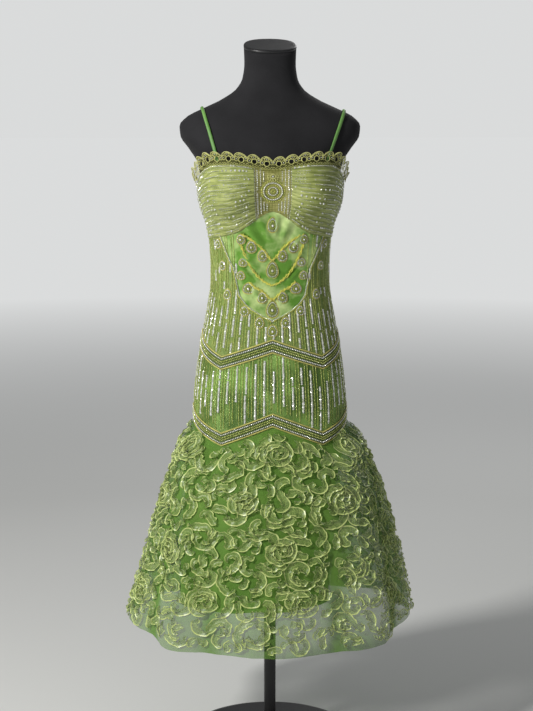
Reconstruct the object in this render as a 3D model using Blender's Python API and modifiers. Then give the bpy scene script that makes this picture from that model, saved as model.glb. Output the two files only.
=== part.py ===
"""A mermaid cocktail dress on a black dress form and stand.

Metres, +Z up. The dress faces -Y, the wearer's left is +X, and the origin is under the
middle of the stand's base. Tables give millimetres and degrees. Every cloth panel is drawn
flat, as the angle round the body and the height, cut back by half a seam, and then wrapped
round the body as a wall. The angle is 0 at the centre front and 180 at the centre back.
"""

import math
import random
from bisect import bisect_right

import bmesh
import bpy
import numpy as np
from mathutils import Matrix, Vector, geometry
from mathutils.bvhtree import BVHTree

MM = 0.001

# Driving sizes, mm
CLOTH_GAP = 2.0
CLOTH_WALL = 2.0
CUP_WALL = 4.0
BAND_WALL = 2.4
BAND_BEADS = 1.3
SATIN_SKIRT_WALL = 1.5
TULLE_WALL = 1.6
LAYER_GAP = 0.5
SEAM = 0.45
ZIP_WIDTH = 6.0
BAND_HEIGHT = 29.0
STRAP_WIDTH = 7.0
STRAP_THICKNESS = 3.2
UNDERSKIRT_HEM = 315.0
HEM_LEVEL = 260.0
SIDE_SEAM = 90.0
BACK_SEAM = 180.0
SQUARENESS = 0.045

BASE_RADIUS = 180.0
BASE_THICKNESS = 11.0
POLE_RADIUS = 12.5
FORM_BOTTOM = 664.0

# The body's sections: height, half width, front depth, back depth, forward tilt
BODY = (
    (664, 121, 75, 87, 0),
    (669, 139, 89, 103, 0),
    (684, 152, 100, 115, 0),
    (720, 156, 104, 119, 0),
    (742, 155.5, 104, 119, 0),
    (806, 149.5, 101, 116, 0),
    (859, 141.5, 97, 109, 0),
    (912, 131.5, 93, 99, 0),
    (955, 123.5, 90, 89, 0),
    (997, 118.5, 88, 82, 0),
    (1028, 118.5, 88, 81, 0),
    (1084, 121.5, 93, 84, 0),
    (1111, 124.5, 96, 87, 0),
    (1163, 136, 104, 93, 0),
    (1214, 143, 106, 97, 0),
    (1240, 149, 102, 98, 0),
    (1270, 167.5, 94.5, 96.5, 0),
    (1294, 183.5, 83.5, 91.5, 0),
    (1315, 185.5, 73.5, 85.5, 0),
    (1334, 169.5, 65.5, 79.5, 1),
    (1350, 137.5, 59.5, 75.5, 2),
    (1367, 100.5, 56.5, 71.5, 4),
    (1388, 69.5, 53.5, 65.5, 6),
    (1410, 56.5, 50.5, 59.5, 8),
    (1440, 52.5, 49.5, 55.5, 11),
    (1472, 53.5, 50.5, 55.5, 14),
)

# Bust: how far out, where, and how wide it is across, above and below
BUST_OUT = 34.0
BUST_SIDE = 76.0
BUST_HEIGHT = 1172.0
BUST_ACROSS = 45.0
BUST_ABOVE = 56.0
BUST_BELOW = 38.0
FORM_BUST_SHARE = 0.3

# Heights of the form's own rings, closest where its outline is hollow
FORM_RINGS = (
    664, 669, 684, 742, 859, 920, 970, 1028, 1085, 1150, 1205,
    1245, 1272, 1294, 1315, 1330, 1343, 1355, 1370, 1389, 1415, 1472,
)
FORM_SIDES = 26

# Seam lines: angle from the centre front, height
NECKLINE = (
    (0, 1231), (15, 1238), (30, 1243), (45, 1242), (60, 1229), (75, 1209),
    (90, 1192), (120, 1182), (150, 1178), (180, 1177),
)
UNDERBUST = (
    (0, 1149), (4.5, 1146), (9, 1140), (14, 1132), (18, 1126), (22.5, 1118), (27, 1111.5),
    (31.5, 1106.5), (36, 1102.5), (45, 1098), (54, 1094.5), (63, 1091.5), (72, 1089.5), (90, 1086),
)
UPPER_BAND = ((0, 887), (42, 850), (90, 897), (135, 850), (180, 887))
LOWER_BAND = ((0, 735), (39, 692), (90, 739), (135, 692), (180, 735))
# The satin shield's edge: height, half width
SHIELD = (
    (925, 0), (933, 17), (946, 38), (958, 51), (975, 62),
    (1003, 67), (1030, 72), (1045, 79), (1069, 88), (1095, 97),
)
CUP_INNER_ANGLE = 14.0

# Beaded drops: distance from the centre front, height, half width, half length
DROPS = (
    (0, 1030, 8.5, 15), (0, 946, 9, 16), (20, 1056, 7, 12), (40, 1074, 8, 12),
    (58, 1090, 7, 10), (18, 972, 7.5, 10.5), (45, 990, 9.5, 10.5), (55, 1042, 7, 8),
    (58, 1016, 6.5, 8), (0, 1122, 8, 14),
)
DROP_HEIGHT = 2.4
DROP_SIDES = 7
DROP_TOP = 0.62

# The skirts: height, how far each stands out at the side, front and back, and how far it sways
# to the wearer's left
OVERSKIRT = (
    (250, 130, 127, 124, 0), (304, 127, 120, 118, -1), (353, 118, 109, 109, 1), (393, 108, 98, 99, 3),
    (426, 101, 91, 92, 5), (481, 88, 77, 78, 5), (536, 73, 60, 61, 5), (580, 58, 45, 46, 5),
    (623, 42, 29, 31, 5), (656, 29, 17, 19, 4), (688, 15, 9, 9, 3), (715, 5, 2, 2, 0),
)
UNDERSKIRT = (
    (300, 0, 14, 6, -36), (400, 0, 10, 3, -33), (480, 0, 6, 0, -28), (560, 0, 3, 0, -20),
    (620, 0, 0, 0, -8), (650, 0, 0, 0, -2), (680, 0, 0, 0, 0),
)
# How far below its seam a skirt has opened out fully
OPENING = 40.0
HIP_FLOOR = 715.0
# Folds at the hem: angle, out, width
OVERSKIRT_FOLDS = (
    (-2, 6, 20), (26, -10, 11), (44, 13, 12), (61, -17, 10), (82, 13, 14), (104, -13, 12),
    (125, 12, 14), (145, -12, 12), (163, 11, 13), (180, -7, 10), (-27, -10, 11), (-43, 12, 12),
    (-59, -17, 10), (-80, 13, 14), (-102, -13, 12), (-122, 12, 14), (-143, -12, 12), (-162, 11, 13),
)
UNDERSKIRT_FOLDS = (
    (0, -4, 9), (21, 6, 11), (43, -5, 9), (66, 6, 12), (95, -5, 12), (125, 6, 13), (155, -5, 11),
    (180, 6, 12), (-19, 6, 10), (-41, -6, 9), (-64, 6, 12), (-93, -5, 12), (-124, 6, 13),
    (-154, -5, 11),
)
FOLD_TOP = 670.0
FOLD_GROWTH = 1.25
# The overskirt's hem: angle, height
HEM = ((0, 258), (44, 262), (62, 270), (84, 283), (112, 279), (140, 268), (180, 262))
# Heights of the rows in the overskirt's plain inner side
SKIRT_ROWS = (300, 370, 440, 510, 570, 615, 645, 670, 690)
SKIRT_COLUMN = 4.5

# Ribbon on the overskirt: style, length, and its bends as start, end and turn
RIBBON_WIDTH = 15.0
RIBBON_HEIGHT = 5.0
RIBBON_STEP = 20.0
RIBBON_STYLES = (
    ("hairpin", 104, ((0.28, 0.72, 185),)),
    ("ess", 112, ((0.08, 0.45, 160), (0.55, 0.92, -160))),
    ("hook", 96, ((0.40, 0.90, 205),)),
    ("coil", 150, ((0.0, 0.38, 205), (0.38, 1.0, 200))),
    ("wave", 108, ((0.05, 0.32, 95), (0.36, 0.66, -140), (0.72, 0.97, 95))),
    ("comma", 62, ((0.15, 0.85, 130),)),
)
# Rows of ribbon on half the skirt: height, how many
RIBBON_ROWS = ((648, 6), (598, 6), (540, 7), (482, 8), (424, 8), (366, 9), (311, 10))
RIBBON_SEED = 11
RIBBON_CLEARANCE = 3.5
RIBBON_TRIES = 60

SCALLOPS_FRONT = 20
SCALLOPS_BACK = 9
LACE_WALL = 1.4
LACE_TUCK = 6.0
# One scallop of the lace edging: how far along it, and the height of its edge
SCALLOP = ((0.0, 12.0), (0.27, 23.5), (0.73, 23.5))
LACE_ROWS = (0.0, 0.30, 0.78, 1.0)
LACE_LEAN = 4.0

COLOURS = {
    # name: colour, roughness, metallic
    "satin": ((0.16, 0.50, 0.09), 0.35, 0.0),
    "beaded_net": ((0.38, 0.52, 0.16), 0.45, 0.0),
    "ruched_tulle": ((0.48, 0.60, 0.22), 0.55, 0.0),
    "ribbon_tulle": ((0.42, 0.60, 0.24), 0.6, 0.0),
    "lace": ((0.58, 0.58, 0.22), 0.6, 0.0),
    "bead_band": ((0.55, 0.60, 0.38), 0.3, 0.2),
    "strap": ((0.15, 0.45, 0.10), 0.4, 0.0),
    "zip": ((0.25, 0.50, 0.16), 0.5, 0.0),
    "zip_metal": ((0.55, 0.60, 0.50), 0.3, 1.0),
    "form": ((0.012, 0.012, 0.014), 0.75, 0.0),
    "stand": ((0.015, 0.015, 0.017), 0.35, 0.6),
}


def clear_scene():
    """Removes whatever the file holds."""
    for thing in list(bpy.data.objects):
        bpy.data.objects.remove(thing)


def material(name):
    """The named cloth, plastic or metal, made once."""
    found = bpy.data.materials.get(name)
    if found:
        return found
    colour, roughness, metallic = COLOURS[name]
    made = bpy.data.materials.new(name)
    made.use_nodes = True
    shader = made.node_tree.nodes["Principled BSDF"]
    shader.inputs["Base Color"].default_value = (*colour, 1)
    shader.inputs["Roughness"].default_value = roughness
    shader.inputs["Metallic"].default_value = metallic
    return made


def collection():
    """The collection that holds the dress and its form."""
    name = "mermaid_dress"
    found = bpy.data.collections.get(name)
    if not found:
        found = bpy.data.collections.new(name)
        bpy.context.scene.collection.children.link(found)
    return found


def add_object(name, mesh, finish):
    """Puts a mesh in the dress's collection as the named piece."""
    piece = bpy.data.objects.new(name, mesh)
    mesh.materials.append(material(finish))
    collection().objects.link(piece)
    return piece


def read(rows, x):
    """A table's other columns at x, its first column, along a smooth curve that never overshoots."""
    xs = [row[0] for row in rows]
    x = min(max(x, xs[0]), xs[-1])
    i = min(max(bisect_right(xs, x) - 1, 0), len(xs) - 2)
    span = xs[i + 1] - xs[i]
    t = (x - xs[i]) / span
    values = []
    for column in range(1, len(rows[0])):
        slopes = [
            (rows[k + 1][column] - rows[k][column]) / (xs[k + 1] - xs[k]) for k in range(len(xs) - 1)
        ]

        def tangent(k):
            if k in (0, len(xs) - 1):
                return slopes[min(k, len(slopes) - 1)]
            before, after = slopes[k - 1], slopes[k]
            return 0.0 if before * after <= 0 else 2 * before * after / (before + after)

        a, b = rows[i][column], rows[i + 1][column]
        values.append(
            a * (1 + 2 * t) * (1 - t) ** 2
            + b * t * t * (3 - 2 * t)
            + span * tangent(i) * t * (1 - t) ** 2
            - span * tangent(i + 1) * t * t * (1 - t)
        )
    return values


def straight(rows, x):
    """A two-column table's second column at x, along straight lines."""
    return float(np.interp(x, [row[0] for row in rows], [row[1] for row in rows]))


def fold_angle(angle):
    """An angle as its size from the centre front, 0 to 180."""
    return abs((angle + 180) % 360 - 180)


def section_point(angle, half_width, front, back):
    """A point, in mm, on a body section that is a little squarer than an ellipse."""
    turn = math.radians(angle)
    depth = front if math.cos(turn) > 0 else back
    square = 1 + SQUARENESS * math.sin(2 * turn) ** 2
    return Vector((half_width * math.sin(turn) * square, -depth * math.cos(turn) * square))


def outward(angle, half_width, front, back, out):
    """A point, in mm, on a section moved straight out from it."""
    step = 0.5
    here = section_point(angle, half_width, front, back)
    along = section_point(angle + step, half_width, front, back) - section_point(
        angle - step, half_width, front, back
    )
    normal = Vector((along.y, -along.x)).normalized()
    return here + normal * out


def bust(angle, height):
    """How far the bust stands out from the body, mm."""
    if fold_angle(angle) > SIDE_SEAM:
        return 0.0
    side = read(BODY, height)[0] * math.sin(math.radians(angle))
    tall = BUST_ABOVE if height > BUST_HEIGHT else BUST_BELOW
    rise = math.exp(-(((height - BUST_HEIGHT) / tall) ** 2))
    across = sum(math.exp(-(((side - centre) / BUST_ACROSS) ** 2)) for centre in (-BUST_SIDE, BUST_SIDE))
    return BUST_OUT * rise * across


def on_body(flat, out, bust_share=1.0, floor=HIP_FLOOR):
    """A flat point wrapped round the body, out mm from it, in metres.

    Cloth hangs straight down below the floor height.
    """
    angle, height = flat
    half_width, front, back, tilt = read(BODY, max(height, floor))
    spot = outward(angle, half_width, front, back, out + bust_share * bust(angle, height))
    lift = spot.y * math.tan(math.radians(tilt))
    return Vector((spot.x, spot.y, height + lift)) * MM


def skirt_section(rows, height, opened=1.0):
    """Half width, front and back of a skirt at a height, and how far it sways, mm."""
    half_width, front, back, _ = read(BODY, max(height, HIP_FLOOR))
    side_out, front_out, back_out, sway = (opened * out for out in read(rows, height))
    return half_width + side_out, front + front_out, back + back_out, sway


def folds(rows, angle, height):
    """How far the skirt's folds move it in or out, mm."""
    growth = max(0.0, (FOLD_TOP - height) / (FOLD_TOP - HEM_LEVEL)) ** FOLD_GROWTH
    total = 0.0
    for at, out, width in rows:
        away = (angle - at + 180) % 360 - 180
        total += out * math.exp(-((away / width) ** 2))
    return total * growth


def on_skirt(rows, fold_rows):
    """A function that wraps flat points round a skirt."""

    def place(flat, out):
        angle, height = flat
        seam = seam_height(LOWER_BAND, angle) - BAND_HEIGHT
        drop = min(1.0, max(0.0, (seam - height) / OPENING))
        *section, sway = skirt_section(rows, height, drop * drop * (3 - 2 * drop))
        spot = outward(angle, *section, out + folds(fold_rows, angle, height))
        return Vector((spot.x + sway, spot.y, height)) * MM

    return place


def mm_per_degree(height, rows=None):
    """How long one degree round the body or a skirt is, mm."""
    half_width, front, back = (skirt_section(rows, height) if rows else read(BODY, height))[:3]
    return math.radians((half_width + (front + back) / 2) / 2)


def seam_height(line, angle):
    """The height of a seam line at an angle. Those below the neckline run straight between rows."""
    if line is NECKLINE:
        return read(line, fold_angle(angle))[0]
    return straight(line, fold_angle(angle))


def along(line, start, end, step=9.0):
    """Flat points on a seam line between two angles, one at each step, corner and end."""
    low, high = sorted((start, end))
    steps = [k * step for k in range(int(low / step) - 1, int(high / step) + 2)]
    corners = [row[0] for row in line if line is not NECKLINE]
    corners += [-angle for angle in corners] + [360 - angle for angle in corners]
    angles = {a for a in steps + corners if low + 0.4 < a < high - 0.4} | {start, end}
    return [(a, seam_height(line, a)) for a in sorted(angles, reverse=end < start)]


def lowered(points, by):
    """Flat points moved down."""
    return [(angle, height - by) for angle, height in points]


def upright(angle_at, start, end, step=25.0):
    """Flat points on an upright seam whose angle may change with the height."""
    count = max(1, round(abs(end - start) / step))
    return [(angle_at(h), h) for h in np.linspace(start, end, count + 1)]


def side_seam(low_line, high_line, below_low=0.0, below_high=0.0):
    """Flat points up the wearer's left side between two seam lines, or so far below them."""
    low = seam_height(low_line, SIDE_SEAM) - below_low
    high = seam_height(high_line, SIDE_SEAM) - below_high
    return upright(lambda h: SIDE_SEAM, low, high)


def joined(*lines):
    """One closed outline from seam lines in order, with no point twice."""
    outline = []
    for line in lines:
        for point in line:
            if not outline or math.dist(point, outline[-1]) > 0.05:
                outline.append(point)
    if math.dist(outline[0], outline[-1]) <= 0.05:
        outline.pop()
    return outline


def cut_back(outline, by, scale):
    """An outline, counterclockwise, moved inwards by half a seam. Scale is mm in a degree."""
    points = [Vector((a * scale, h)) for a, h in outline]
    moved = []
    for i, here in enumerate(points):
        before = (here - points[i - 1]).normalized()
        after = (points[(i + 1) % len(points)] - here).normalized()
        inward = Vector((-before.y - after.y, before.x + after.x))
        if inward.length < 1e-6:
            inward = Vector((-before.y, before.x))
        inward.normalize()
        stretch = max(0.35, inward.dot(Vector((-before.y, before.x))))
        corner = here + inward * (by / stretch)
        moved.append((corner.x / scale, corner.y))
    return moved


def inside(outline, point):
    """Whether a flat point is inside a closed outline."""
    x, y = point
    crossings = False
    for i, (ax, ay) in enumerate(outline):
        bx, by = outline[i - 1]
        if (ay > y) != (by > y) and x < (bx - ax) * (y - ay) / (by - ay) + ax:
            crossings = not crossings
    return crossings


def clear_of(loops, points, scale):
    """How far each flat point is from the nearest side of some closed loops, mm."""
    starts = np.concatenate([np.array(loop) for loop in loops]) * (scale, 1)
    ends = np.concatenate([np.roll(np.array(loop), -1, axis=0) for loop in loops]) * (scale, 1)
    span = ends - starts
    away = np.full(len(points), 1e9)
    for i, point in enumerate(np.array(points) * (scale, 1)):
        t = np.clip(((point - starts) * span).sum(1) / (span * span).sum(1), 0, 1)
        away[i] = np.hypot(*(point - starts - t[:, None] * span).T).min()
    return away


def spots_inside(outline, spacing, scale, rings=()):
    """A staggered net of flat points inside an outline, clear of its edge and of any rings."""
    low_angle, low_height = np.min(outline, axis=0)
    high_angle, high_height = np.max(outline, axis=0)
    rows = int((high_height - low_height) / spacing) + 1
    columns = int((high_angle - low_angle) * scale / spacing) + 2
    spots = [
        (low_angle + (column + 0.5 * (row % 2)) * spacing / scale, low_height + (row + 0.5) * spacing)
        for row in range(rows)
        for column in range(columns)
    ]
    spots = [spot for spot in spots if inside(outline, spot)]
    if not spots:
        return []
    away = clear_of([outline, *rings], spots, scale)
    return [spot for spot, distance in zip(spots, away) if distance > spacing * 0.42]


def triangulated(outline, rings, spots, scale, lines=()):
    """Flat triangles inside an outline that keep the edges of every ring and line.

    Returns the points, the triangles and, for each point put in, its place in the points. Those
    of the outline come first, then the lines', the rings' and the spots.
    """
    points = list(outline)
    edges = [(i, (i + 1) % len(outline)) for i in range(len(outline))]
    for path, closed in [(line, False) for line in lines] + [(ring, True) for ring in rings]:
        first, count = len(points), len(path)
        points += path
        edges += [(first + i, first + (i + 1) % count) for i in range(count - (not closed))]
    points += spots
    flat = [Vector((a * scale, h)) for a, h in points]
    loop = list(range(len(outline)))
    made, _, faces, origins, _, _ = geometry.delaunay_2d_cdt(flat, edges, [loop], 1, 0.02)
    place = {old: new for new, olds in enumerate(origins) for old in olds}
    return [(v.x / scale, v.y) for v in made], faces, [place[i] for i in range(len(points))]


def cloth_wall(
    name, flat, faces, place, inner, outer, finish, relief=None, rim=None, spots=None, scale=1.0
):
    """A closed wall of cloth from flat faces.

    place(flat point, out) gives a point in space. The outer side has the relief. The inner side
    has the same faces, or, where rim lists the outline's points, plain ones of its own.
    """
    bm = bmesh.new()
    raised = [relief(p) if relief else 0.0 for p in flat]
    outside = [bm.verts.new(place(p, outer + up)) for p, up in zip(flat, raised)]
    if rim is None:
        inside_verts = [bm.verts.new(place(p, inner)) for p in flat]
        inner_faces, partner = faces, list(range(len(flat)))
    else:
        edge = [flat[i] for i in rim]
        plain, inner_faces, loop = triangulated(edge, [], spots, scale)
        loop = loop[: len(rim)]
        inside_verts = [bm.verts.new(place(p, inner)) for p in plain]
        partner = {outer_index: loop[i] for i, outer_index in enumerate(rim)}
    sides = set()
    for face in faces:
        bm.faces.new([outside[i] for i in face])
        sides |= {(face[i], face[(i + 1) % len(face)]) for i in range(len(face))}
    for face in inner_faces:
        bm.faces.new([inside_verts[i] for i in reversed(face)])
    for a, b in sorted(sides):
        if (b, a) not in sides:
            bm.faces.new([outside[b], outside[a], inside_verts[partner[a]], inside_verts[partner[b]]])
    mesh = bpy.data.meshes.new(name)
    bm.to_mesh(mesh)
    bm.free()
    return add_object(name, mesh, finish)


def grid_faces(rows, columns, skip=()):
    """Quads of a grid whose rows run down and whose columns run to the right."""
    faces = []
    for row in range(rows - 1):
        for column in range(columns - 1):
            if (row, column) in skip:
                continue
            a = row * columns + column
            b = a + columns
            faces.append((b, b + 1, a + 1, a))
    return faces


def grid_rim(rows, columns):
    """The grid's edge points in order, counterclockwise."""
    bottom = [(rows - 1) * columns + c for c in range(columns)]
    right = [r * columns + columns - 1 for r in range(rows - 2, -1, -1)]
    top = [c for c in range(columns - 2, -1, -1)]
    left = [r * columns for r in range(1, rows - 1)]
    return bottom + right + top + left


def zip_edge(height):
    """The angle of the back panels' edge beside the zip."""
    half_width = read(BODY, height)[0]
    return BACK_SEAM - math.degrees(math.asin(ZIP_WIDTH / 2 / half_width))


def shield_angle(height):
    """The angle of the shield's edge at a height."""
    half_width = read(BODY, height)[0]
    return math.degrees(math.asin(min(1.0, straight(SHIELD, height) / half_width)))


def shield_edge():
    """The shield's edge on the wearer's left, from its point up to the seam under the bust."""
    edge = [(shield_angle(h), h) for h, _ in SHIELD]
    angle = edge[-1][0]
    edge[-1] = (angle, seam_height(UNDERBUST, angle))
    return edge


def mirrored(outline):
    """The same outline on the wearer's other side, still counterclockwise."""
    return [(-angle, height) for angle, height in reversed(outline)]


def drop_ring(centre_angle, centre_height, half_width, half_length, share):
    """A ring round a beaded drop, whose lower end is the fuller one."""
    scale = mm_per_degree(centre_height)
    ring = []
    for i in range(DROP_SIDES):
        turn = 2 * math.pi * (i + 0.5) / DROP_SIDES
        narrow = 1 - 0.25 * math.sin(turn)
        across = half_width * share * math.cos(turn) * narrow
        up = half_length * share * math.sin(turn)
        ring.append((centre_angle + across / scale, centre_height + up))
    return ring


def drop_relief(drops):
    """A function that gives the height of the beaded drops at a flat point."""

    def relief(point):
        best = 0.0
        for angle, height, half_width, half_length in drops:
            scale = mm_per_degree(height)
            up = (point[1] - height) / half_length
            narrow = 1 - 0.25 * max(-1.0, min(1.0, up))
            across = (point[0] - angle) * scale / (half_width * narrow)
            reach = math.hypot(across, up)
            best = max(best, DROP_HEIGHT * min(1.0, max(0.0, (1.0 - reach) / (1 - DROP_TOP - 0.02))))
        return best

    return relief


def plain_panel(name, outline, finish, drops=(), spacing=29.0, scale=2.3):
    """A body panel inside seam lines, with any beaded drops raised on it."""
    edge = cut_back(outline, SEAM / 2, scale)
    rings = []
    for drop in drops:
        rings += [drop_ring(*drop, 1.0), drop_ring(*drop, DROP_TOP)]
    spots = spots_inside(edge, spacing, scale)
    clear = spots_inside(edge, spacing, scale, rings)
    flat, faces, found = triangulated(edge, rings, clear, scale)
    rim = found[: len(edge)]
    return cloth_wall(
        name, flat, faces, on_body, CLOTH_GAP, CLOTH_GAP + CLOTH_WALL, finish,
        relief=drop_relief(drops) if drops else None, rim=rim, spots=spots, scale=scale,
    )


def front_shield():
    """The satin panel with the point below the waist and the beaded drops on it."""
    left = shield_edge()
    top = along(UNDERBUST, left[-1][0], -left[-1][0])
    outline = joined(left, top, [(-a, h) for a, h in reversed(left)])
    drops = []
    for side, height, half_width, half_length in DROPS:
        body = read(BODY, height)[0]
        angle = math.degrees(math.asin(side / body))
        for sign in (1, -1) if side else (1,):
            drops.append((sign * angle, height, half_width, half_length))
    plain_panel("front_shield", outline, "satin", drops, spacing=24.0)


def side_fronts():
    """The beaded net panels beside the shield, which meet under its point."""
    edge = shield_edge()
    outline = joined(
        along(UPPER_BAND, 0, SIDE_SEAM),
        side_seam(UPPER_BAND, UNDERBUST),
        along(UNDERBUST, SIDE_SEAM, edge[-1][0]),
        list(reversed(edge)),
    )
    plain_panel("side_front_left", outline, "beaded_net")
    plain_panel("side_front_right", mirrored(outline), "beaded_net")


def back_panels():
    """The two halves of the back, from the neckline to the upper band."""
    low, high = zip_edge(UPPER_BAND[-1][1]), zip_edge(NECKLINE[-1][1])
    outline = joined(
        along(UPPER_BAND, SIDE_SEAM, low),
        upright(zip_edge, seam_height(UPPER_BAND, low), seam_height(NECKLINE, high)),
        along(NECKLINE, high, SIDE_SEAM),
        side_seam(UPPER_BAND, NECKLINE)[::-1],
    )
    plain_panel("back_left", outline, "beaded_net")
    plain_panel("back_right", mirrored(outline), "beaded_net")


def hip_panels():
    """The satin between the two bands: a front and two backs beside the zip."""
    side = side_seam(LOWER_BAND, UPPER_BAND, 0.0, BAND_HEIGHT)
    front = joined(
        along(LOWER_BAND, -SIDE_SEAM, SIDE_SEAM),
        side,
        lowered(along(UPPER_BAND, SIDE_SEAM, -SIDE_SEAM), BAND_HEIGHT),
        [(-angle, height) for angle, height in side[::-1]],
    )
    plain_panel("hip_front", front, "satin", scale=2.5)
    low, high = zip_edge(LOWER_BAND[-1][1]), zip_edge(UPPER_BAND[-1][1] - BAND_HEIGHT)
    back = joined(
        along(LOWER_BAND, SIDE_SEAM, low),
        upright(zip_edge, seam_height(LOWER_BAND, low), seam_height(UPPER_BAND, high) - BAND_HEIGHT),
        lowered(along(UPPER_BAND, high, SIDE_SEAM), BAND_HEIGHT),
        side[::-1],
    )
    plain_panel("hip_back_left", back, "satin", scale=2.5)
    plain_panel("hip_back_right", mirrored(back), "satin", scale=2.5)


def band(name, line, last_angle):
    """A zigzag band of beads: three ridges on a backing that goes round the hips."""
    ridges = (0.0, 1.0, 0.25, 1.0, 0.25, 1.0, 0.0)
    top = along(line, -last_angle, last_angle, step=11.25)
    columns = len(top)
    half_seam = SEAM / 2
    flat, raised = [], {}
    for row, ridge in enumerate(ridges):
        share = row / (len(ridges) - 1)
        for angle, height in top:
            down = half_seam + share * (BAND_HEIGHT - SEAM)
            point = (angle, height - down)
            flat.append(point)
            raised[point] = ridge * BAND_BEADS
    cloth_wall(
        name, flat, grid_faces(len(ridges), columns), on_body, CLOTH_GAP, CLOTH_GAP + BAND_WALL,
        "bead_band", relief=raised.get, rim=grid_rim(len(ridges), columns), spots=[], scale=2.5,
    )


def cup(name, side):
    """One ruched cup: gathers that run across it, raised on a padded wall."""
    gathers, inset, nudge = 10, SEAM / 2, 0.12
    rows = 2 * gathers + 1
    angles = [a for a, _ in along(UNDERBUST, CUP_INNER_ANGLE, SIDE_SEAM)]
    angles = [angles[0] + nudge, *angles[1:-1], angles[-1] - nudge]
    columns = len(angles)
    flat, raised = [], {}
    for row in range(rows):
        share = row / (rows - 1)
        share += 0.006 * math.sin(5.1 * row) * (0 < row < rows - 1)
        for column, angle in enumerate(angles):
            top = seam_height(NECKLINE, angle) - inset
            bottom = seam_height(UNDERBUST, angle) + inset
            point = (angle, top + (bottom - top) * share)
            flat.append(point)
            ridge = row % 2 and row > 2
            raised[point] = (1.5 + 0.5 * math.sin(3.7 * row + 2.1 * column)) if ridge else 0.0
    if side < 0:
        flat = [(-a, h) for a, h in flat]
        raised = {(-a, h): up for (a, h), up in raised.items()}
    faces, rim = grid_faces(rows, columns), grid_rim(rows, columns)
    if side < 0:
        faces, rim = [tuple(reversed(f)) for f in faces], list(reversed(rim))
    spots = spots_inside([flat[i] for i in rim], 22.0, 2.3)
    cloth_wall(
        name, flat, faces, on_body, CLOTH_GAP, CLOTH_GAP + CUP_WALL, "ruched_tulle",
        relief=raised.get, rim=rim, spots=spots, scale=2.3,
    )


def bust_insert():
    """The beaded piece between the cups, with the raised roundel that shows on it."""
    right, left = -CUP_INNER_ANGLE, CUP_INNER_ANGLE
    low, high = seam_height(UNDERBUST, left), seam_height(NECKLINE, left)
    outline = joined(
        along(UNDERBUST, right, left),
        upright(lambda h: left, low, high, 12),
        along(NECKLINE, left, right, step=4.5),
        upright(lambda h: right, high, low, 12),
    )
    scale = 2.3
    edge = cut_back(outline, SEAM / 2, scale)
    centre, radius = (0.0, 1188.0), 21.0
    rings = []
    for share in (1.0, 0.82, 0.55, 0.38):
        ring = []
        for i in range(16):
            turn = 2 * math.pi * i / 16
            across, up = radius * share * math.cos(turn), radius * share * math.sin(turn)
            ring.append((centre[0] + across / scale, centre[1] + up))
        rings.append(ring)

    def relief(point):
        reach = math.hypot((point[0] - centre[0]) * scale, point[1] - centre[1]) / radius
        return float(np.interp(reach, (0.0, 0.38, 0.55, 0.82, 0.995), (2.6, 2.2, 0.9, 1.9, 0.0)))

    spots = spots_inside(edge, 16.0, scale)
    clear = spots_inside(edge, 16.0, scale, rings[:1])
    clear = [spot for spot in clear if not inside(rings[0], spot)]
    flat, faces, found = triangulated(edge, rings, [*clear, centre], scale)
    rim = found[: len(edge)]
    cloth_wall(
        "bust_insert", flat, faces, on_body, CLOTH_GAP, CLOTH_GAP + CUP_WALL - 0.5, "beaded_net",
        relief=relief, rim=rim, spots=spots, scale=scale,
    )


def ribbon_line(style, step):
    """The middle of a ribbon laid flat, mm, centred on its own box."""
    _, length, bends = style
    count = max(5, round(length / step))
    fine = 12
    x = y = 0.0
    line = [Vector((0, 0))]
    for i in range(count * fine):
        share = (i + 0.5) / (count * fine)
        heading = 0.0
        for start, end, turn in bends:
            t = min(1.0, max(0.0, (share - start) / (end - start)))
            heading += math.radians(turn) * t
        x += math.cos(heading) * length / (count * fine)
        y += math.sin(heading) * length / (count * fine)
        if (i + 1) % fine == 0:
            line.append(Vector((x, y)))
    low = Vector((min(p.x for p in line), min(p.y for p in line)))
    high = Vector((max(p.x for p in line), max(p.y for p in line)))
    return [p - (low + high) / 2 for p in line]


class Ribbon:
    """One piece of ribbon sewn on the overskirt."""

    def __init__(self, style, angle, height, turn):
        self.angle, self.height = angle, height
        self.scale = mm_per_degree(height, OVERSKIRT)
        spin = Matrix.Rotation(math.radians(turn), 2)
        self.line = [spin @ p for p in ribbon_line(style, RIBBON_STEP)]

    def flat(self, point):
        """A point of the ribbon's own plane as an angle and a height."""
        return (self.angle + point.x / self.scale, self.height + point.y)

    def foot(self):
        """The ribbon's outline, where it meets the skirt."""
        right, left = [], []
        for i, here in enumerate(self.line):
            ahead = self.line[min(i + 1, len(self.line) - 1)] - self.line[max(i - 1, 0)]
            across = Vector((-ahead.y, ahead.x)).normalized() * RIBBON_WIDTH / 2
            left.append(self.flat(here + across))
            right.append(self.flat(here - across))
        return right + left[::-1]

    def ridge(self):
        """The ribbon's raised middle, which stops short of its ends."""
        short = 0.4 * RIBBON_WIDTH
        first = self.line[0] + (self.line[1] - self.line[0]).normalized() * short
        last = self.line[-1] + (self.line[-2] - self.line[-1]).normalized() * short
        return [self.flat(p) for p in (first, *self.line[1:-1], last)]

    def trail(self):
        """Points along the ribbon's middle on the skirt without its folds, mm, as an array."""
        fine = [a.lerp(b, t) for a, b in zip(self.line, self.line[1:]) for t in (0.0, 0.33, 0.67)]
        return skirt_points([self.flat(p) for p in [*fine, self.line[-1]]])


def skirt_points(flat):
    """Flat points on the overskirt without its folds, mm, as an array."""
    spots = [outward(a, *skirt_section(OVERSKIRT, h)[:3], 0.0).to_tuple() + (h,) for a, h in flat]
    return np.array(spots)


def gap_between(some, others):
    """The least distance between two arrays of points."""
    return np.linalg.norm(some[:, None] - others[None], axis=2).min()


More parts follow.
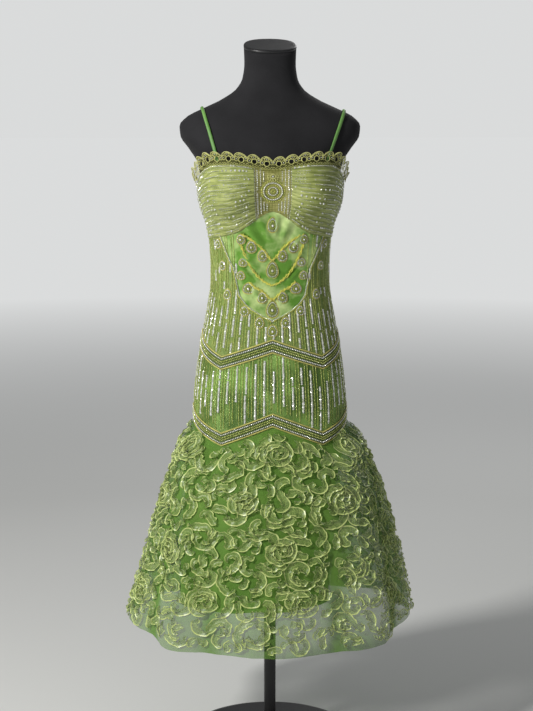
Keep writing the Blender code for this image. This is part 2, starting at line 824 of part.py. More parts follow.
def ribbons(middle):
    """The ribbons of the half of the overskirt round that angle, none of which touch."""
    luck = random.Random(RIBBON_SEED + int(middle))
    made, trails = [], []

    def fits(piece):
        margin = RIBBON_WIDTH / 2 + RIBBON_CLEARANCE
        for angle, height in map(piece.flat, piece.line):
            top = seam_height(LOWER_BAND, angle) - BAND_HEIGHT - 1.2 * margin
            bottom = read(HEM, fold_angle(angle))[0] + margin
            if not bottom < height < top or abs(angle - middle) > 90 - margin / piece.scale:
                return False
        trail = piece.trail()
        if any(gap_between(trail, other) < RIBBON_WIDTH + RIBBON_CLEARANCE for other in trails):
            return False
        made.append(piece)
        trails.append(trail)
        return True

    for row, (height, count) in enumerate(RIBBON_ROWS):
        width = 180 / count
        for k in range(count):
            for attempt in range(RIBBON_TRIES):
                kind = (k * 2 + row * 3 + k // 3 + attempt // 12) % len(RIBBON_STYLES)
                angle = middle - 90 + (k + 0.5 + luck.uniform(-0.22, 0.22)) * width
                piece = Ribbon(
                    RIBBON_STYLES[kind], angle, height + luck.uniform(-9, 9), luck.uniform(0, 360)
                )
                if fits(piece):
                    break
    return made


def overskirt(name, middle):
    """Half of the tulle overskirt, with its ribbons raised in the outer side."""
    low, high = middle - 90, middle + 90
    scale = 3.9
    top = lowered(along(LOWER_BAND, high, low), BAND_HEIGHT)
    columns = np.arange(low, high + 1, SKIRT_COLUMN)
    hem = [(a, read(HEM, fold_angle(a))[0]) for a in columns]
    outline = joined(
        hem,
        upright(lambda h: high, hem[-1][1], top[0][1], 34),
        top,
        upright(lambda h: low, top[-1][1], hem[0][1], 34),
    )
    edge = cut_back(outline, SEAM / 2, scale)
    pieces = ribbons(middle)
    feet = [piece.foot() for piece in pieces]
    ridges = [piece.ridge() for piece in pieces]
    clear = spots_inside(edge, 31.0, scale, feet)
    clear = [spot for spot in clear if not any(inside(foot, spot) for foot in feet)]
    flat, faces, found = triangulated(edge, feet, clear, scale, ridges)
    rim = found[: len(edge)]
    tops = found[len(edge) : len(edge) + sum(len(ridge) for ridge in ridges)]
    raised = {flat[i]: RIBBON_HEIGHT for i in tops}
    net = [(a, h) for h in SKIRT_ROWS for a in columns if inside(edge, (a, h))]
    away = clear_of([edge], net, scale)
    net = [spot for spot, distance in zip(net, away) if distance > 6]
    inner = CLOTH_GAP + SATIN_SKIRT_WALL + LAYER_GAP
    cloth_wall(
        name, flat, faces, on_skirt(OVERSKIRT, OVERSKIRT_FOLDS), inner, inner + TULLE_WALL,
        "ribbon_tulle", relief=lambda p: raised.get(p, 0.0), rim=rim, spots=net, scale=scale,
    )


def underskirt(name, middle):
    """Half of the narrow satin underskirt, in soft upright folds."""
    low, high = middle - 90, middle + 90
    top = lowered(along(LOWER_BAND, low, high), BAND_HEIGHT)
    columns = len(top)
    rows = 5
    nudge = 0.07
    flat = []
    for row in range(rows):
        share = (row / (rows - 1)) ** 0.8
        for angle, height in top:
            upper = height - SEAM / 2
            angle = min(max(angle, low + nudge), high - nudge)
            flat.append((angle, upper + (UNDERSKIRT_HEM - upper) * share))
    cloth_wall(
        name, flat, grid_faces(rows, columns), on_skirt(UNDERSKIRT, UNDERSKIRT_FOLDS),
        CLOTH_GAP, CLOTH_GAP + SATIN_SKIRT_WALL, "satin",
    )


def lace(name, start, end, scallops, back_offset):
    """A length of scalloped lace on the neckline, each scallop with a hole in its middle."""
    columns, flat, lean = scallops * len(SCALLOP) + 1, [], {}
    rows = len(LACE_ROWS)
    for row, share in enumerate(reversed(LACE_ROWS)):
        for column in range(columns):
            number, part = divmod(column, len(SCALLOP))
            along_it, tall = SCALLOP[part]
            angle = start + (end - start) * (number + along_it) / scallops
            foot = seam_height(NECKLINE, angle) - LACE_TUCK
            point = (angle, foot + (LACE_TUCK + tall) * share)
            flat.append(point)
            wave = math.sin(math.pi * along_it) * (1 if number % 2 else -1)
            flare = LACE_LEAN * (1 + math.sin(math.radians(angle)) ** 2)
            lean[point] = share * share * (flare + 1.3 * wave)
    holes = {(1, n * len(SCALLOP) + 1) for n in range(scallops)}

    def place(point, out):
        return on_body(point, out + lean[point])

    inner = back_offset + LAYER_GAP
    cloth_wall(
        name, flat, grid_faces(rows, columns, holes), place, inner, inner + LACE_WALL, "lace",
    )


def lathe(name, profile, finish, segments=32):
    """A turned piece from its outer profile, radius and height in mm, top to bottom."""
    mesh = bpy.data.meshes.new(name)
    points = [(radius * MM, 0, height * MM) for radius, height in profile]
    mesh.from_pydata(points, [(i, i + 1) for i in range(len(points) - 1)], [])
    piece = add_object(name, mesh, finish)
    turn = piece.modifiers.new("turn", "SCREW")
    turn.axis = "Z"
    turn.steps = turn.render_steps = segments
    turn.use_merge_vertices = True
    turn.merge_threshold = 0.0001
    return piece


def loft(name, rings, finish):
    """A closed body through rings of points, lowest first, with flat ends."""
    bm = bmesh.new()
    loops = [[bm.verts.new(p) for p in ring] for ring in rings]
    count = len(rings[0])
    for below, above in zip(loops, loops[1:]):
        for i in range(count):
            j = (i + 1) % count
            bm.faces.new((below[i], below[j], above[j], above[i]))
    bm.faces.new(list(reversed(loops[0])))
    bm.faces.new(loops[-1])
    mesh = bpy.data.meshes.new(name)
    bm.to_mesh(mesh)
    bm.free()
    return add_object(name, mesh, finish)


def form():
    """The black dress form: a smooth torso with no limbs, and a flat cap on its neck."""
    turns = [360 * i / FORM_SIDES for i in range(FORM_SIDES)]
    rings = [[on_body((turn, h), 0.0, FORM_BUST_SHARE, 0.0) for turn in turns] for h in FORM_RINGS]
    torso = loft("form_torso", rings, "form")
    height, half_width, front, back, lean = BODY[-1]
    tilt = math.tan(math.radians(lean))
    cap_rings = []
    for lift, grow in ((0.3, -0.5), (4.3, 0.5), (6.3, -1.5)):
        ring = []
        for turn in turns:
            spot = outward(turn, half_width, front, back, grow)
            ring.append(Vector((spot.x, spot.y, height + spot.y * tilt + lift)) * MM)
        cap_rings.append(ring)
    loft("form_neck_cap", cap_rings, "stand")
    return torso


def stand():
    """The pole under the form, its collar and the round base."""
    gap = 0.3
    rim, hub = 2.5, 30.0
    lathe(
        "stand_base",
        (
            (0.0, BASE_THICKNESS + 3),
            (hub, BASE_THICKNESS + 3),
            (BASE_RADIUS - 12, BASE_THICKNESS - 3),
            (BASE_RADIUS - rim, BASE_THICKNESS - 6),
            (BASE_RADIUS, BASE_THICKNESS - 6 - rim),
            (BASE_RADIUS, 0.0),
            (0.0, 0.0),
        ),
        "stand",
        32,
    )
    foot = BASE_THICKNESS + 3 + gap
    lathe(
        "stand_pole",
        ((0.0, FORM_BOTTOM - gap), (POLE_RADIUS, FORM_BOTTOM - gap), (POLE_RADIUS, foot), (0.0, foot)),
        "stand",
        20,
    )
    bore = POLE_RADIUS + gap
    lathe(
        "stand_collar",
        (
            (bore, foot + 34), (bore + 6, foot + 34), (bore + 7, foot + 9), (bore + 14, foot + 5),
            (bore + 14, foot), (bore, foot), (bore, foot + 34),
        ),
        "stand",
        20,
    )


def taut_path(torso, front, back, crest, steps):
    """Points of a taut strap over the form's shoulder, each with the form's normal there."""
    tree = BVHTree.FromPolygons(
        [v.co.copy() for v in torso.data.vertices], [list(p.vertices) for p in torso.data.polygons]
    )
    middle = (front + back) / 2
    up = (crest - middle).normalized()
    ahead = (front - middle) - (front - middle).dot(up) * up
    ahead.normalize()
    found = [front]
    for i in range(1, 72):
        turn = math.pi * i / 72
        ray = ahead * math.cos(turn) + up * math.sin(turn)
        spot, _, _, _ = tree.ray_cast(middle + ray * 0.5, -ray)
        if spot and spot.z > max(front.z, back.z):
            found.append(spot)
    found.append(back)
    flat = [((p - middle).dot(ahead), (p - middle).dot(up)) for p in found]
    hull = []
    for i, point in enumerate(flat):
        while len(hull) > 1:
            (ax, ay), (bx, by) = flat[hull[-2]], flat[hull[-1]]
            turned = (bx - ax) * (point[1] - ay) - (by - ay) * (point[0] - ax)
            if turned < 0:
                hull.pop()
            else:
                break
        hull.append(i)
    corners = [found[i] for i in hull]
    lengths = np.concatenate(([0], np.cumsum([(b - a).length for a, b in zip(corners, corners[1:])])))
    path = []
    for where in np.linspace(0, lengths[-1], steps):
        spot = Vector([float(np.interp(where, lengths, [c[k] for c in corners])) for k in range(3)])
        _, normal, _, _ = tree.find_nearest(spot)
        path.append((spot, normal))
    return path


def strap(name, torso, side, crest_side):
    """A narrow strap from the top of a cup over the shoulder to the back's top edge."""
    rise = 1.8 + STRAP_THICKNESS / 2
    front = on_body((side * 42, seam_height(NECKLINE, 42) + 1.2), 0.0)
    back = on_body((side * 141, seam_height(NECKLINE, 141) + 1.8), 0.0)
    crest = Vector((side * crest_side * MM, 0.004, 1.345))
    path = taut_path(torso, front, back, crest, 25)
    rings = []
    for i, (spot, normal) in enumerate(path):
        ahead = (path[min(i + 1, len(path) - 1)][0] - path[max(i - 1, 0)][0]).normalized()
        out = (normal - normal.dot(ahead) * ahead).normalized()
        across = out.cross(ahead)
        centre = spot + out * rise * MM
        ring = []
        for k in range(6):
            turn = 2 * math.pi * k / 6
            ring.append(
                centre
                + across * (math.cos(turn) * STRAP_WIDTH / 2 * MM)
                + out * (math.sin(turn) * STRAP_THICKNESS / 2 * MM)
            )
        rings.append(ring)
    loft(name, rings, "strap")


def box(name, low, high, finish):
    """A block between two corners, mm."""
    size = [b - a for a, b in zip(low, high)]
    centre = [(a + b) / 2 * MM for a, b in zip(low, high)]
    bm = bmesh.new()
    bmesh.ops.create_cube(bm, size=1.0)
    bmesh.ops.scale(bm, vec=[s * MM for s in size], verts=bm.verts)
    bmesh.ops.translate(bm, vec=centre, verts=bm.verts)
    mesh = bpy.data.meshes.new(name)
    bm.to_mesh(mesh)
    bm.free()
    return add_object(name, mesh, finish)


def rod(name, radius, low_x, high_x, y, z, finish, sides=16):
    """A cylinder along X, mm."""
    bm = bmesh.new()
    bmesh.ops.create_cone(
        bm, cap_ends=True, segments=sides, radius1=radius * MM, radius2=radius * MM,
        depth=(high_x - low_x) * MM,
    )
    bmesh.ops.rotate(bm, matrix=Matrix.Rotation(math.pi / 2, 3, "Y"), verts=bm.verts)
    bmesh.ops.translate(bm, vec=((low_x + high_x) / 2 * MM, y * MM, z * MM), verts=bm.verts)
    mesh = bpy.data.meshes.new(name)
    bm.to_mesh(mesh)
    bm.free()
    return add_object(name, mesh, finish)


def combine(target, others, how):
    """Joins others to target, or cuts them from it, and removes them."""
    for other in others:
        change = target.modifiers.new(how.lower(), "BOOLEAN")
        change.operation = how
        change.object = other
    bpy.context.view_layer.update()
    solid = bpy.data.meshes.new_from_object(target.evaluated_get(bpy.context.evaluated_depsgraph_get()))
    target.modifiers.clear()
    target.data = solid
    for other in others:
        bpy.data.objects.remove(other)
    return target


def closure():
    """The zip at the centre back: its tape, and a slider with a pull tab that swings."""
    top, bottom = NECKLINE[-1][1] - 1.0, LOWER_BAND[-1][1] + SEAM
    rows, flat = 18, []
    for height in np.linspace(top, bottom, rows):
        inset = math.degrees(SEAM / read(BODY, height)[0])
        edge = zip_edge(height) + inset
        flat += [(edge, height), (360 - edge, height)]
    tape = CLOTH_WALL + 0.4
    cloth_wall("zip_tape", flat, grid_faces(rows, 2), on_body, CLOTH_GAP, CLOTH_GAP + tape, "zip")

    height = top - 14.0
    beside = (height - 6, height, height + 6)
    face = max(on_body((BACK_SEAM, h), CLOTH_GAP + tape).y for h in beside) / MM
    block = face + 0.4
    axis_y = block + 2.2 + 2.3
    metal = "zip_metal"
    slider = box("zip_slider", (-4, block, height - 5), (4, block + 2.2, height + 5), metal)
    ears = []
    for side in (-1, 1):
        low = (side * 2.3 - 0.5, block + 1.2, height - 1.6)
        high = (side * 2.3 + 0.5, axis_y + 1.2, height + 1.6)
        ears.append(box(f"ear{side}", low, high, metal))
    pin = rod("pin", 0.7, -2.5, 2.5, axis_y, height, metal)
    combine(slider, [*ears, pin], "UNION")

    pull = rod("zip_pull", 1.85, -1.5, 1.5, axis_y, height, metal)
    neck = box("neck", (-1.5, axis_y - 0.6, height - 4.2), (1.5, axis_y + 0.6, height - 0.9), metal)
    tab = box("tab", (-2.8, axis_y - 0.6, height - 23), (2.8, axis_y + 0.6, height - 3.2), metal)
    combine(pull, [neck, tab], "UNION")
    hole = rod("hole", 1.05, -4, 4, axis_y, height, metal)
    combine(pull, [hole], "DIFFERENCE")
    pin_axis = Vector((0, axis_y, height)) * MM
    pull.data.transform(Matrix.Translation(-pin_axis))
    pull.location = pin_axis


def build():
    """Makes every piece."""
    clear_scene()
    torso = form()
    stand()
    front_shield()
    side_fronts()
    back_panels()
    hip_panels()
    band("band_upper", UPPER_BAND, zip_edge(870) - 0.15)
    band("band_lower", LOWER_BAND, 179.9)
    cup("cup_left", 1)
    cup("cup_right", -1)
    bust_insert()
    underskirt("underskirt_front", 0)
    underskirt("underskirt_back", 180)
    overskirt("overskirt_front", 0)
    overskirt("overskirt_back", 180)
    lace("lace_front", -89.8, 89.8, SCALLOPS_FRONT, CLOTH_GAP + CUP_WALL)
    lace("lace_back_left", 90.2, 177.6, SCALLOPS_BACK, CLOTH_GAP + CLOTH_WALL)
    lace("lace_back_right", 182.4, 269.8, SCALLOPS_BACK, CLOTH_GAP + CLOTH_WALL)
    strap("strap_left", torso, 1, 152)
    strap("strap_right", torso, -1, 137)
    closure()


build()
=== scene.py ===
"""Looks of a mermaid cocktail dress on its black dress form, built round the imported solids.

Metres, +Z up. The dress faces -Y and the wearer's left is +X. Cloth is laid out flat, as the
angle round the body in degrees and the height in millimetres, and then wrapped round the body
or a skirt. The angle is 0 at the centre front and 180 at the centre back.
"""

from __future__ import annotations

import logging
import math
import random
import sys
from dataclasses import dataclass, field
from enum import Enum
from functools import cache
from typing import Any, Iterator, Sequence

import bmesh
import bpy
import numpy as np
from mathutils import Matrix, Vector


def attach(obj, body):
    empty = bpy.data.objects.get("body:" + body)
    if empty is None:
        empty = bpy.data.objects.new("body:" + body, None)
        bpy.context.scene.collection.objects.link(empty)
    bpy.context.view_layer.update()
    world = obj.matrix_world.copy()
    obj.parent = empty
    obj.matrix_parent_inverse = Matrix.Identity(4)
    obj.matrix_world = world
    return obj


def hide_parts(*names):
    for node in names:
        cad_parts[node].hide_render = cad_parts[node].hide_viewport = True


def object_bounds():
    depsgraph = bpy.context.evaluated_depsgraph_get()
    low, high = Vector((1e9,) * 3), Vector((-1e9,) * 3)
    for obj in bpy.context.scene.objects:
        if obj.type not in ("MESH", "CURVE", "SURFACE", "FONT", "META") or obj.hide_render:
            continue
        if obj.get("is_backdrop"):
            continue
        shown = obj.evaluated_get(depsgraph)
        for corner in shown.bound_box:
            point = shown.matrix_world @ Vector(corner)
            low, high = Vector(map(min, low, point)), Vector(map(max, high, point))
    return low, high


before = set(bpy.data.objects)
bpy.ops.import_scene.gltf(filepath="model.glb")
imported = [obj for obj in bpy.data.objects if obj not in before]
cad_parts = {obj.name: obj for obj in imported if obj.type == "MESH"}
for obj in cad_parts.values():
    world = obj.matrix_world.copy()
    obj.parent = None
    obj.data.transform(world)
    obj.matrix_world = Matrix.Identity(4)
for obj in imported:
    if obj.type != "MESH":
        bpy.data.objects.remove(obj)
CAD_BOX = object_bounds()

MM = 0.001
DRESS = "dress_on_form"
Array = np.ndarray
Piece = bpy.types.Object
Node = bpy.types.Node
Socket = bpy.types.NodeSocket
Tree = bpy.types.NodeTree
Rows = Sequence[Sequence[float]]

# Driving sizes, mm and degrees, as in the solids
CLOTH = 4.0
CUP = 6.0
SATIN_SKIRT = 3.5
OVERSKIRT_OUT = 5.6
BAND_HEIGHT = 29.0
UNDERSKIRT_HEM = 315.0
HEM_LEVEL = 260.0
SIDE_SEAM = 90.0
SQUARENESS = 0.045
HIP_FLOOR = 715.0
OPENING = 40.0
FOLD_TOP = 670.0
FOLD_GROWTH = 1.25
TUCK = 7.0
CUP_INNER_ANGLE = 14.0
ZIP_HALF = 3.0
ZIP_TOP = 1176.0
ZIP_SLIDER = 1162.0
# How long one degree is on cloth laid flat, at the neckline and between the cups, mm
FLAT_DEGREE = 2.2
NECK_DEGREE = 2.35
BUST_DEGREE = 2.3
# The least share of its box that a sheet's area is taken as, and the least width of a sheet, m
LEAST_SHARE = 0.31
NARROWEST = 0.0101
UPRIGHT = np.array([(0.0, 0.0, 1.0)])

# The body's sections: height, half width, front depth, back depth, forward tilt
BODY = (
    (664, 121, 75, 87, 0),
    (669, 139, 89, 103, 0),
    (684, 152, 100, 115, 0),
    (720, 156, 104, 119, 0),
    (742, 155.5, 104, 119, 0),
    (806, 149.5, 101, 116, 0),
    (859, 141.5, 97, 109, 0),
    (912, 131.5, 93, 99, 0),
    (955, 123.5, 90, 89, 0),
    (997, 118.5, 88, 82, 0),
    (1028, 118.5, 88, 81, 0),
    (1084, 121.5, 93, 84, 0),
    (1111, 124.5, 96, 87, 0),
    (1163, 136, 104, 93, 0),
    (1214, 143, 106, 97, 0),
    (1240, 149, 102, 98, 0),
    (1270, 167.5, 94.5, 96.5, 0),
    (1294, 183.5, 83.5, 91.5, 0),
    (1315, 185.5, 73.5, 85.5, 0),
    (1334, 169.5, 65.5, 79.5, 1),
    (1350, 137.5, 59.5, 75.5, 2),
    (1367, 100.5, 56.5, 71.5, 4),
    (1388, 69.5, 53.5, 65.5, 6),
    (1410, 56.5, 50.5, 59.5, 8),
    (1440, 52.5, 49.5, 55.5, 11),
    (1472, 53.5, 50.5, 55.5, 14),
)

# Seam lines: angle from the centre front, height
NECKLINE = (
    (0, 1231), (15, 1238), (30, 1243), (45, 1242), (60, 1229), (75, 1209),
    (90, 1192), (120, 1182), (150, 1178), (180, 1177),
)
UNDERBUST = (
    (0, 1149), (4.5, 1146), (9, 1140), (14, 1132), (18, 1126), (22.5, 1118), (27, 1111.5),
    (31.5, 1106.5), (36, 1102.5), (45, 1098), (54, 1094.5), (63, 1091.5), (72, 1089.5), (90, 1086),
)
UPPER_BAND = ((0, 887), (42, 850), (90, 897), (135, 850), (180, 887))
LOWER_BAND = ((0, 735), (39, 692), (90, 739), (135, 692), (180, 735))
# The satin shield's edge: height, half width
SHIELD = (
    (925, 0), (933, 17), (946, 38), (958, 51), (975, 62),
    (1003, 67), (1030, 72), (1045, 79), (1069, 88), (1095, 97),
)

# The skirts: height, how far each stands out at the side, front and back, and its sway
OVERSKIRT = (
    (250, 130, 127, 124, 0), (304, 127, 120, 118, -1), (353, 118, 109, 109, 1), (393, 108, 98, 99, 3),
    (426, 101, 91, 92, 5), (481, 88, 77, 78, 5), (536, 73, 60, 61, 5), (580, 58, 45, 46, 5),
    (623, 42, 29, 31, 5), (656, 29, 17, 19, 4), (688, 15, 9, 9, 3), (715, 5, 2, 2, 0),
)
UNDERSKIRT = (
    (300, 0, 14, 6, -36), (400, 0, 10, 3, -33), (480, 0, 6, 0, -28), (560, 0, 3, 0, -20),
    (620, 0, 0, 0, -8), (650, 0, 0, 0, -2), (680, 0, 0, 0, 0),
)
# Folds at the hem: angle, out, width
OVERSKIRT_FOLDS = (
    (-2, 6, 20), (26, -10, 11), (44, 13, 12), (61, -17, 10), (82, 13, 14), (104, -13, 12),
    (125, 12, 14), (145, -12, 12), (163, 11, 13), (180, -7, 10), (-27, -10, 11), (-43, 12, 12),
    (-59, -17, 10), (-80, 13, 14), (-102, -13, 12), (-122, 12, 14), (-143, -12, 12), (-162, 11, 13),
)
UNDERSKIRT_FOLDS = (
    (0, -4, 9), (21, 6, 11), (43, -5, 9), (66, 6, 12), (95, -5, 12), (125, 6, 13), (155, -5, 11),
    (180, 6, 12), (-19, 6, 10), (-41, -6, 9), (-64, 6, 12), (-93, -5, 12), (-124, 6, 13),
    (-154, -5, 11),
)
HEM = ((0, 258), (44, 262), (62, 270), (84, 283), (112, 279), (140, 268), (180, 262))

# Half of a ribbon's section: how far it is from the stitched middle, and how much of it takes the painted
# edge highlight
TAPE = ((0.0, 0.35), (0.36, 0.0), (0.7, 0.0), (0.8, 1.0), (1.0, 1.0))
RIBBON_ROWS = ((648, 6), (598, 6), (540, 7), (482, 8), (424, 8), (366, 9), (311, 10))
# Rosettes wound on top of them: height, how many in a half, how far round the row starts
ROSETTE_ROWS = ((650, 3, 0.45), (556, 3, 0.2), (462, 3, 0.62), (364, 4, 0.35))


def unit(vectors: Array) -> Array:
    """Vectors at length one."""
    return vectors / np.maximum(np.linalg.norm(vectors, axis=-1, keepdims=True), 1e-12)


class Profile:
    """A table's columns, read along a smooth curve that never overshoots."""

    def __init__(self, rows: Rows) -> None:
        """Works out the curve's slope at each row.

        Args:
            rows: the place in the first column, and the values there in the others.
        """
        table = np.array(rows, dtype=float)
        self.x, self.y = table[:, 0], table[:, 1:]
        rise = np.diff(self.y, axis=0) / np.diff(self.x)[:, None]
        before, after = rise[:-1], rise[1:]
        same = before * after > 0
        middle = np.where(same, 2 * before * after / np.where(same, before + after, 1), 0)
        self.slope = np.vstack((rise[:1], middle, rise[-1:]))

    def at(self, x: Array) -> Array:
        """The columns at some places.

        Args:
            x: the places.

        Returns:
            An array with one more axis, which holds the columns.
        """
        x = np.clip(np.asarray(x, dtype=float), self.x[0], self.x[-1])
        i = np.clip(np.searchsorted(self.x, x, side="right") - 1, 0, len(self.x) - 2)
        span = (self.x[i + 1] - self.x[i])[..., None]
        t = (x - self.x[i])[..., None] / span
        return (
            self.y[i] * (1 + 2 * t) * (1 - t) ** 2
            + self.y[i + 1] * t * t * (3 - 2 * t)
            + span * self.slope[i] * t * (1 - t) ** 2
            - span * self.slope[i + 1] * t * t * (1 - t)
        )


BODY_PROFILE = Profile(BODY)
NECK_PROFILE = Profile(NECKLINE)
HEM_PROFILE = Profile(HEM)


def from_front(angle: Array) -> Array:
    """Angles as their size from the centre front, 0 to 180."""
    return np.abs((np.asarray(angle, dtype=float) + 180) % 360 - 180)


def seam(line: Rows, angle: Array) -> Array:
    """The height of a seam line at some angles."""
    if line is NECKLINE:
        return NECK_PROFILE.at(from_front(angle))[..., 0]
    if line is HEM:
        return HEM_PROFILE.at(from_front(angle))[..., 0]
    return np.interp(from_front(angle), [row[0] for row in line], [row[1] for row in line])


def outward(angle: Array, half: Array, front: Array, back: Array, out: Array) -> Array:
    """Points on body sections, in mm, moved straight out from them.

    Args:
        angle: where on the section.
        half: half widths.
        front: front depths.
        back: back depths.
        out: how far to move the points.

    Returns:
        The points' x and y.
    """

    def on(at: Array) -> Array:
        turn = np.radians(at)
        depth = np.where(np.cos(turn) > 0, front, back)
        square = 1 + SQUARENESS * np.sin(2 * turn) ** 2
        return np.stack((half * np.sin(turn) * square, -depth * np.cos(turn) * square), -1)

    ahead = on(angle + 0.5) - on(angle - 0.5)
    normal = unit(np.stack((ahead[..., 1], -ahead[..., 0]), -1))
    return on(angle) + normal * out[..., None]


class Surface:
    """Something that flat points are wrapped round."""

    def wrap(self, angle: Any, height: Any, out: Any) -> Array:
        """Angles and heights in space, in metres."""
        raise NotImplementedError

    def lay(self, flat: Array, out: Any) -> Array:
        """Flat points in space, in metres. Their last axis holds angle and height."""
        return self.wrap(flat[..., 0], flat[..., 1], out)

    def facing(self, flat: Array) -> Array:
        """Which way the surface faces at flat points."""
        return unit(self.lay(flat, 6.0) - self.lay(flat, 0.0))


@dataclass
class Body(Surface):
    """The body under the dress, with the bust that the cups are cut for.

    Attributes:
        bust_share: how much of the bust stands out.
        floor: the height below which cloth hangs straight down.
    """

    bust_share: float = 1.0
    floor: float = HIP_FLOOR
    bust_out: float = 34.0
    bust_side: float = 76.0
    bust_height: float = 1172.0
    bust_across: float = 45.0
    bust_above: float = 56.0
    bust_below: float = 38.0

    def bust(self, angle: Array, height: Array) -> Array:
        """How far the bust stands out at flat points, mm."""
        side = BODY_PROFILE.at(height)[..., 0] * np.sin(np.radians(angle))
        tall = np.where(height > self.bust_height, self.bust_above, self.bust_below)
        rise = np.exp(-(((height - self.bust_height) / tall) ** 2))
        across = sum(
            np.exp(-(((side - centre) / self.bust_across) ** 2))
            for centre in (-self.bust_side, self.bust_side)
        )
        return np.where(from_front(angle) > SIDE_SEAM, 0.0, self.bust_out * rise * across)

    def wrap(self, angle: Any, height: Any, out: Any) -> Array:
        """Angles and heights wrapped round the body, in metres."""
        angle, height, out = np.broadcast_arrays(*(np.asarray(v, float) for v in (angle, height, out)))
        half, front, back, tilt = np.moveaxis(BODY_PROFILE.at(np.maximum(height, self.floor)), -1, 0)
        spot = outward(angle, half, front, back, out + self.bust_share * self.bust(angle, height))
        lift = spot[..., 1] * np.tan(np.radians(tilt))
        return np.stack((spot[..., 0], spot[..., 1], height + lift), -1) * MM


class Skirt(Surface):
    """A skirt that opens out below the hips."""

    def __init__(self, rows: Rows, folds: Rows) -> None:
        """Reads the skirt's tables.

        Args:
            rows: height, and how far it stands out at the side, front and back, and sways.
            folds: each fold's angle, how far out it is, and its width.
        """
        self.profile = Profile(rows)
        self.fold_rows = folds

    def section(self, height: Array, opened: Array | float = 1.0) -> tuple[Array, ...]:
        """Half width, front, back and sway of the skirt at some heights, mm."""
        half, front, back, _ = np.moveaxis(BODY_PROFILE.at(np.maximum(height, HIP_FLOOR)), -1, 0)
        side, ahead, behind, sway = (opened * v for v in np.moveaxis(self.profile.at(height), -1, 0))
        return half + side, front + ahead, back + behind, sway

    def folds(self, angle: Array, height: Array) -> Array:
        """How far the folds move the skirt in or out, mm."""
        growth = np.maximum(0.0, (FOLD_TOP - height) / (FOLD_TOP - HEM_LEVEL)) ** FOLD_GROWTH
        total = sum(
            out * np.exp(-((((angle - at + 180) % 360 - 180) / width) ** 2))
            for at, out, width in self.fold_rows
        )
        return total * growth

    def wrap(self, angle: Any, height: Any, out: Any) -> Array:
        """Angles and heights wrapped round the skirt, in metres."""
        angle, height, out = np.broadcast_arrays(*(np.asarray(v, float) for v in (angle, height, out)))
        top = seam(LOWER_BAND, angle) - BAND_HEIGHT
        drop = np.clip((top - height) / OPENING, 0, 1)
        half, front, back, sway = self.section(height, drop * drop * (3 - 2 * drop))
        spot = outward(angle, half, front, back, out + self.folds(angle, height))
        return np.stack((spot[..., 0] + sway, spot[..., 1], height), -1) * MM

    def unfolded(self, flat: Array) -> Array:
        """A row of flat points on the skirt without its folds, mm."""
        half, front, back, _ = self.section(flat[:, 1])
        return np.column_stack((outward(flat[:, 0], half, front, back, np.zeros(len(flat))), flat[:, 1]))


BODY_SHAPE = Body()
FORM_SHAPE = Body(bust_share=0.3, floor=0.0)
OVER = Skirt(OVERSKIRT, OVERSKIRT_FOLDS)
UNDER = Skirt(UNDERSKIRT, UNDERSKIRT_FOLDS)


def mm_per_degree(height: float) -> float:
    """How long one degree round the body is at a height, mm."""
    half, front, back, _ = BODY_PROFILE.at(np.array(max(height, HIP_FLOOR)))
    return math.radians((half + (front + back) / 2) / 2)


def ripple(t: Array, seed: int, waves: int, slowest: float) -> Array:
    """A smooth uneven wave between about -1 and 1.

    Args:
        t: where along it, 0 to 1.
        seed: picks the wave.
        waves: how many sine waves it adds up.
        slowest: how many times the slowest one swings.
    """
    luck = random.Random(seed)
    total = np.zeros_like(np.asarray(t, dtype=float))
    for k in range(waves):
        turns = slowest * (k + 1) * luck.uniform(0.8, 1.25)
        total = total + np.sin(2 * math.pi * turns * t + luck.uniform(0, 6.28)) / (k + 1) ** 0.6
    return total / waves**0.5


# Node trees


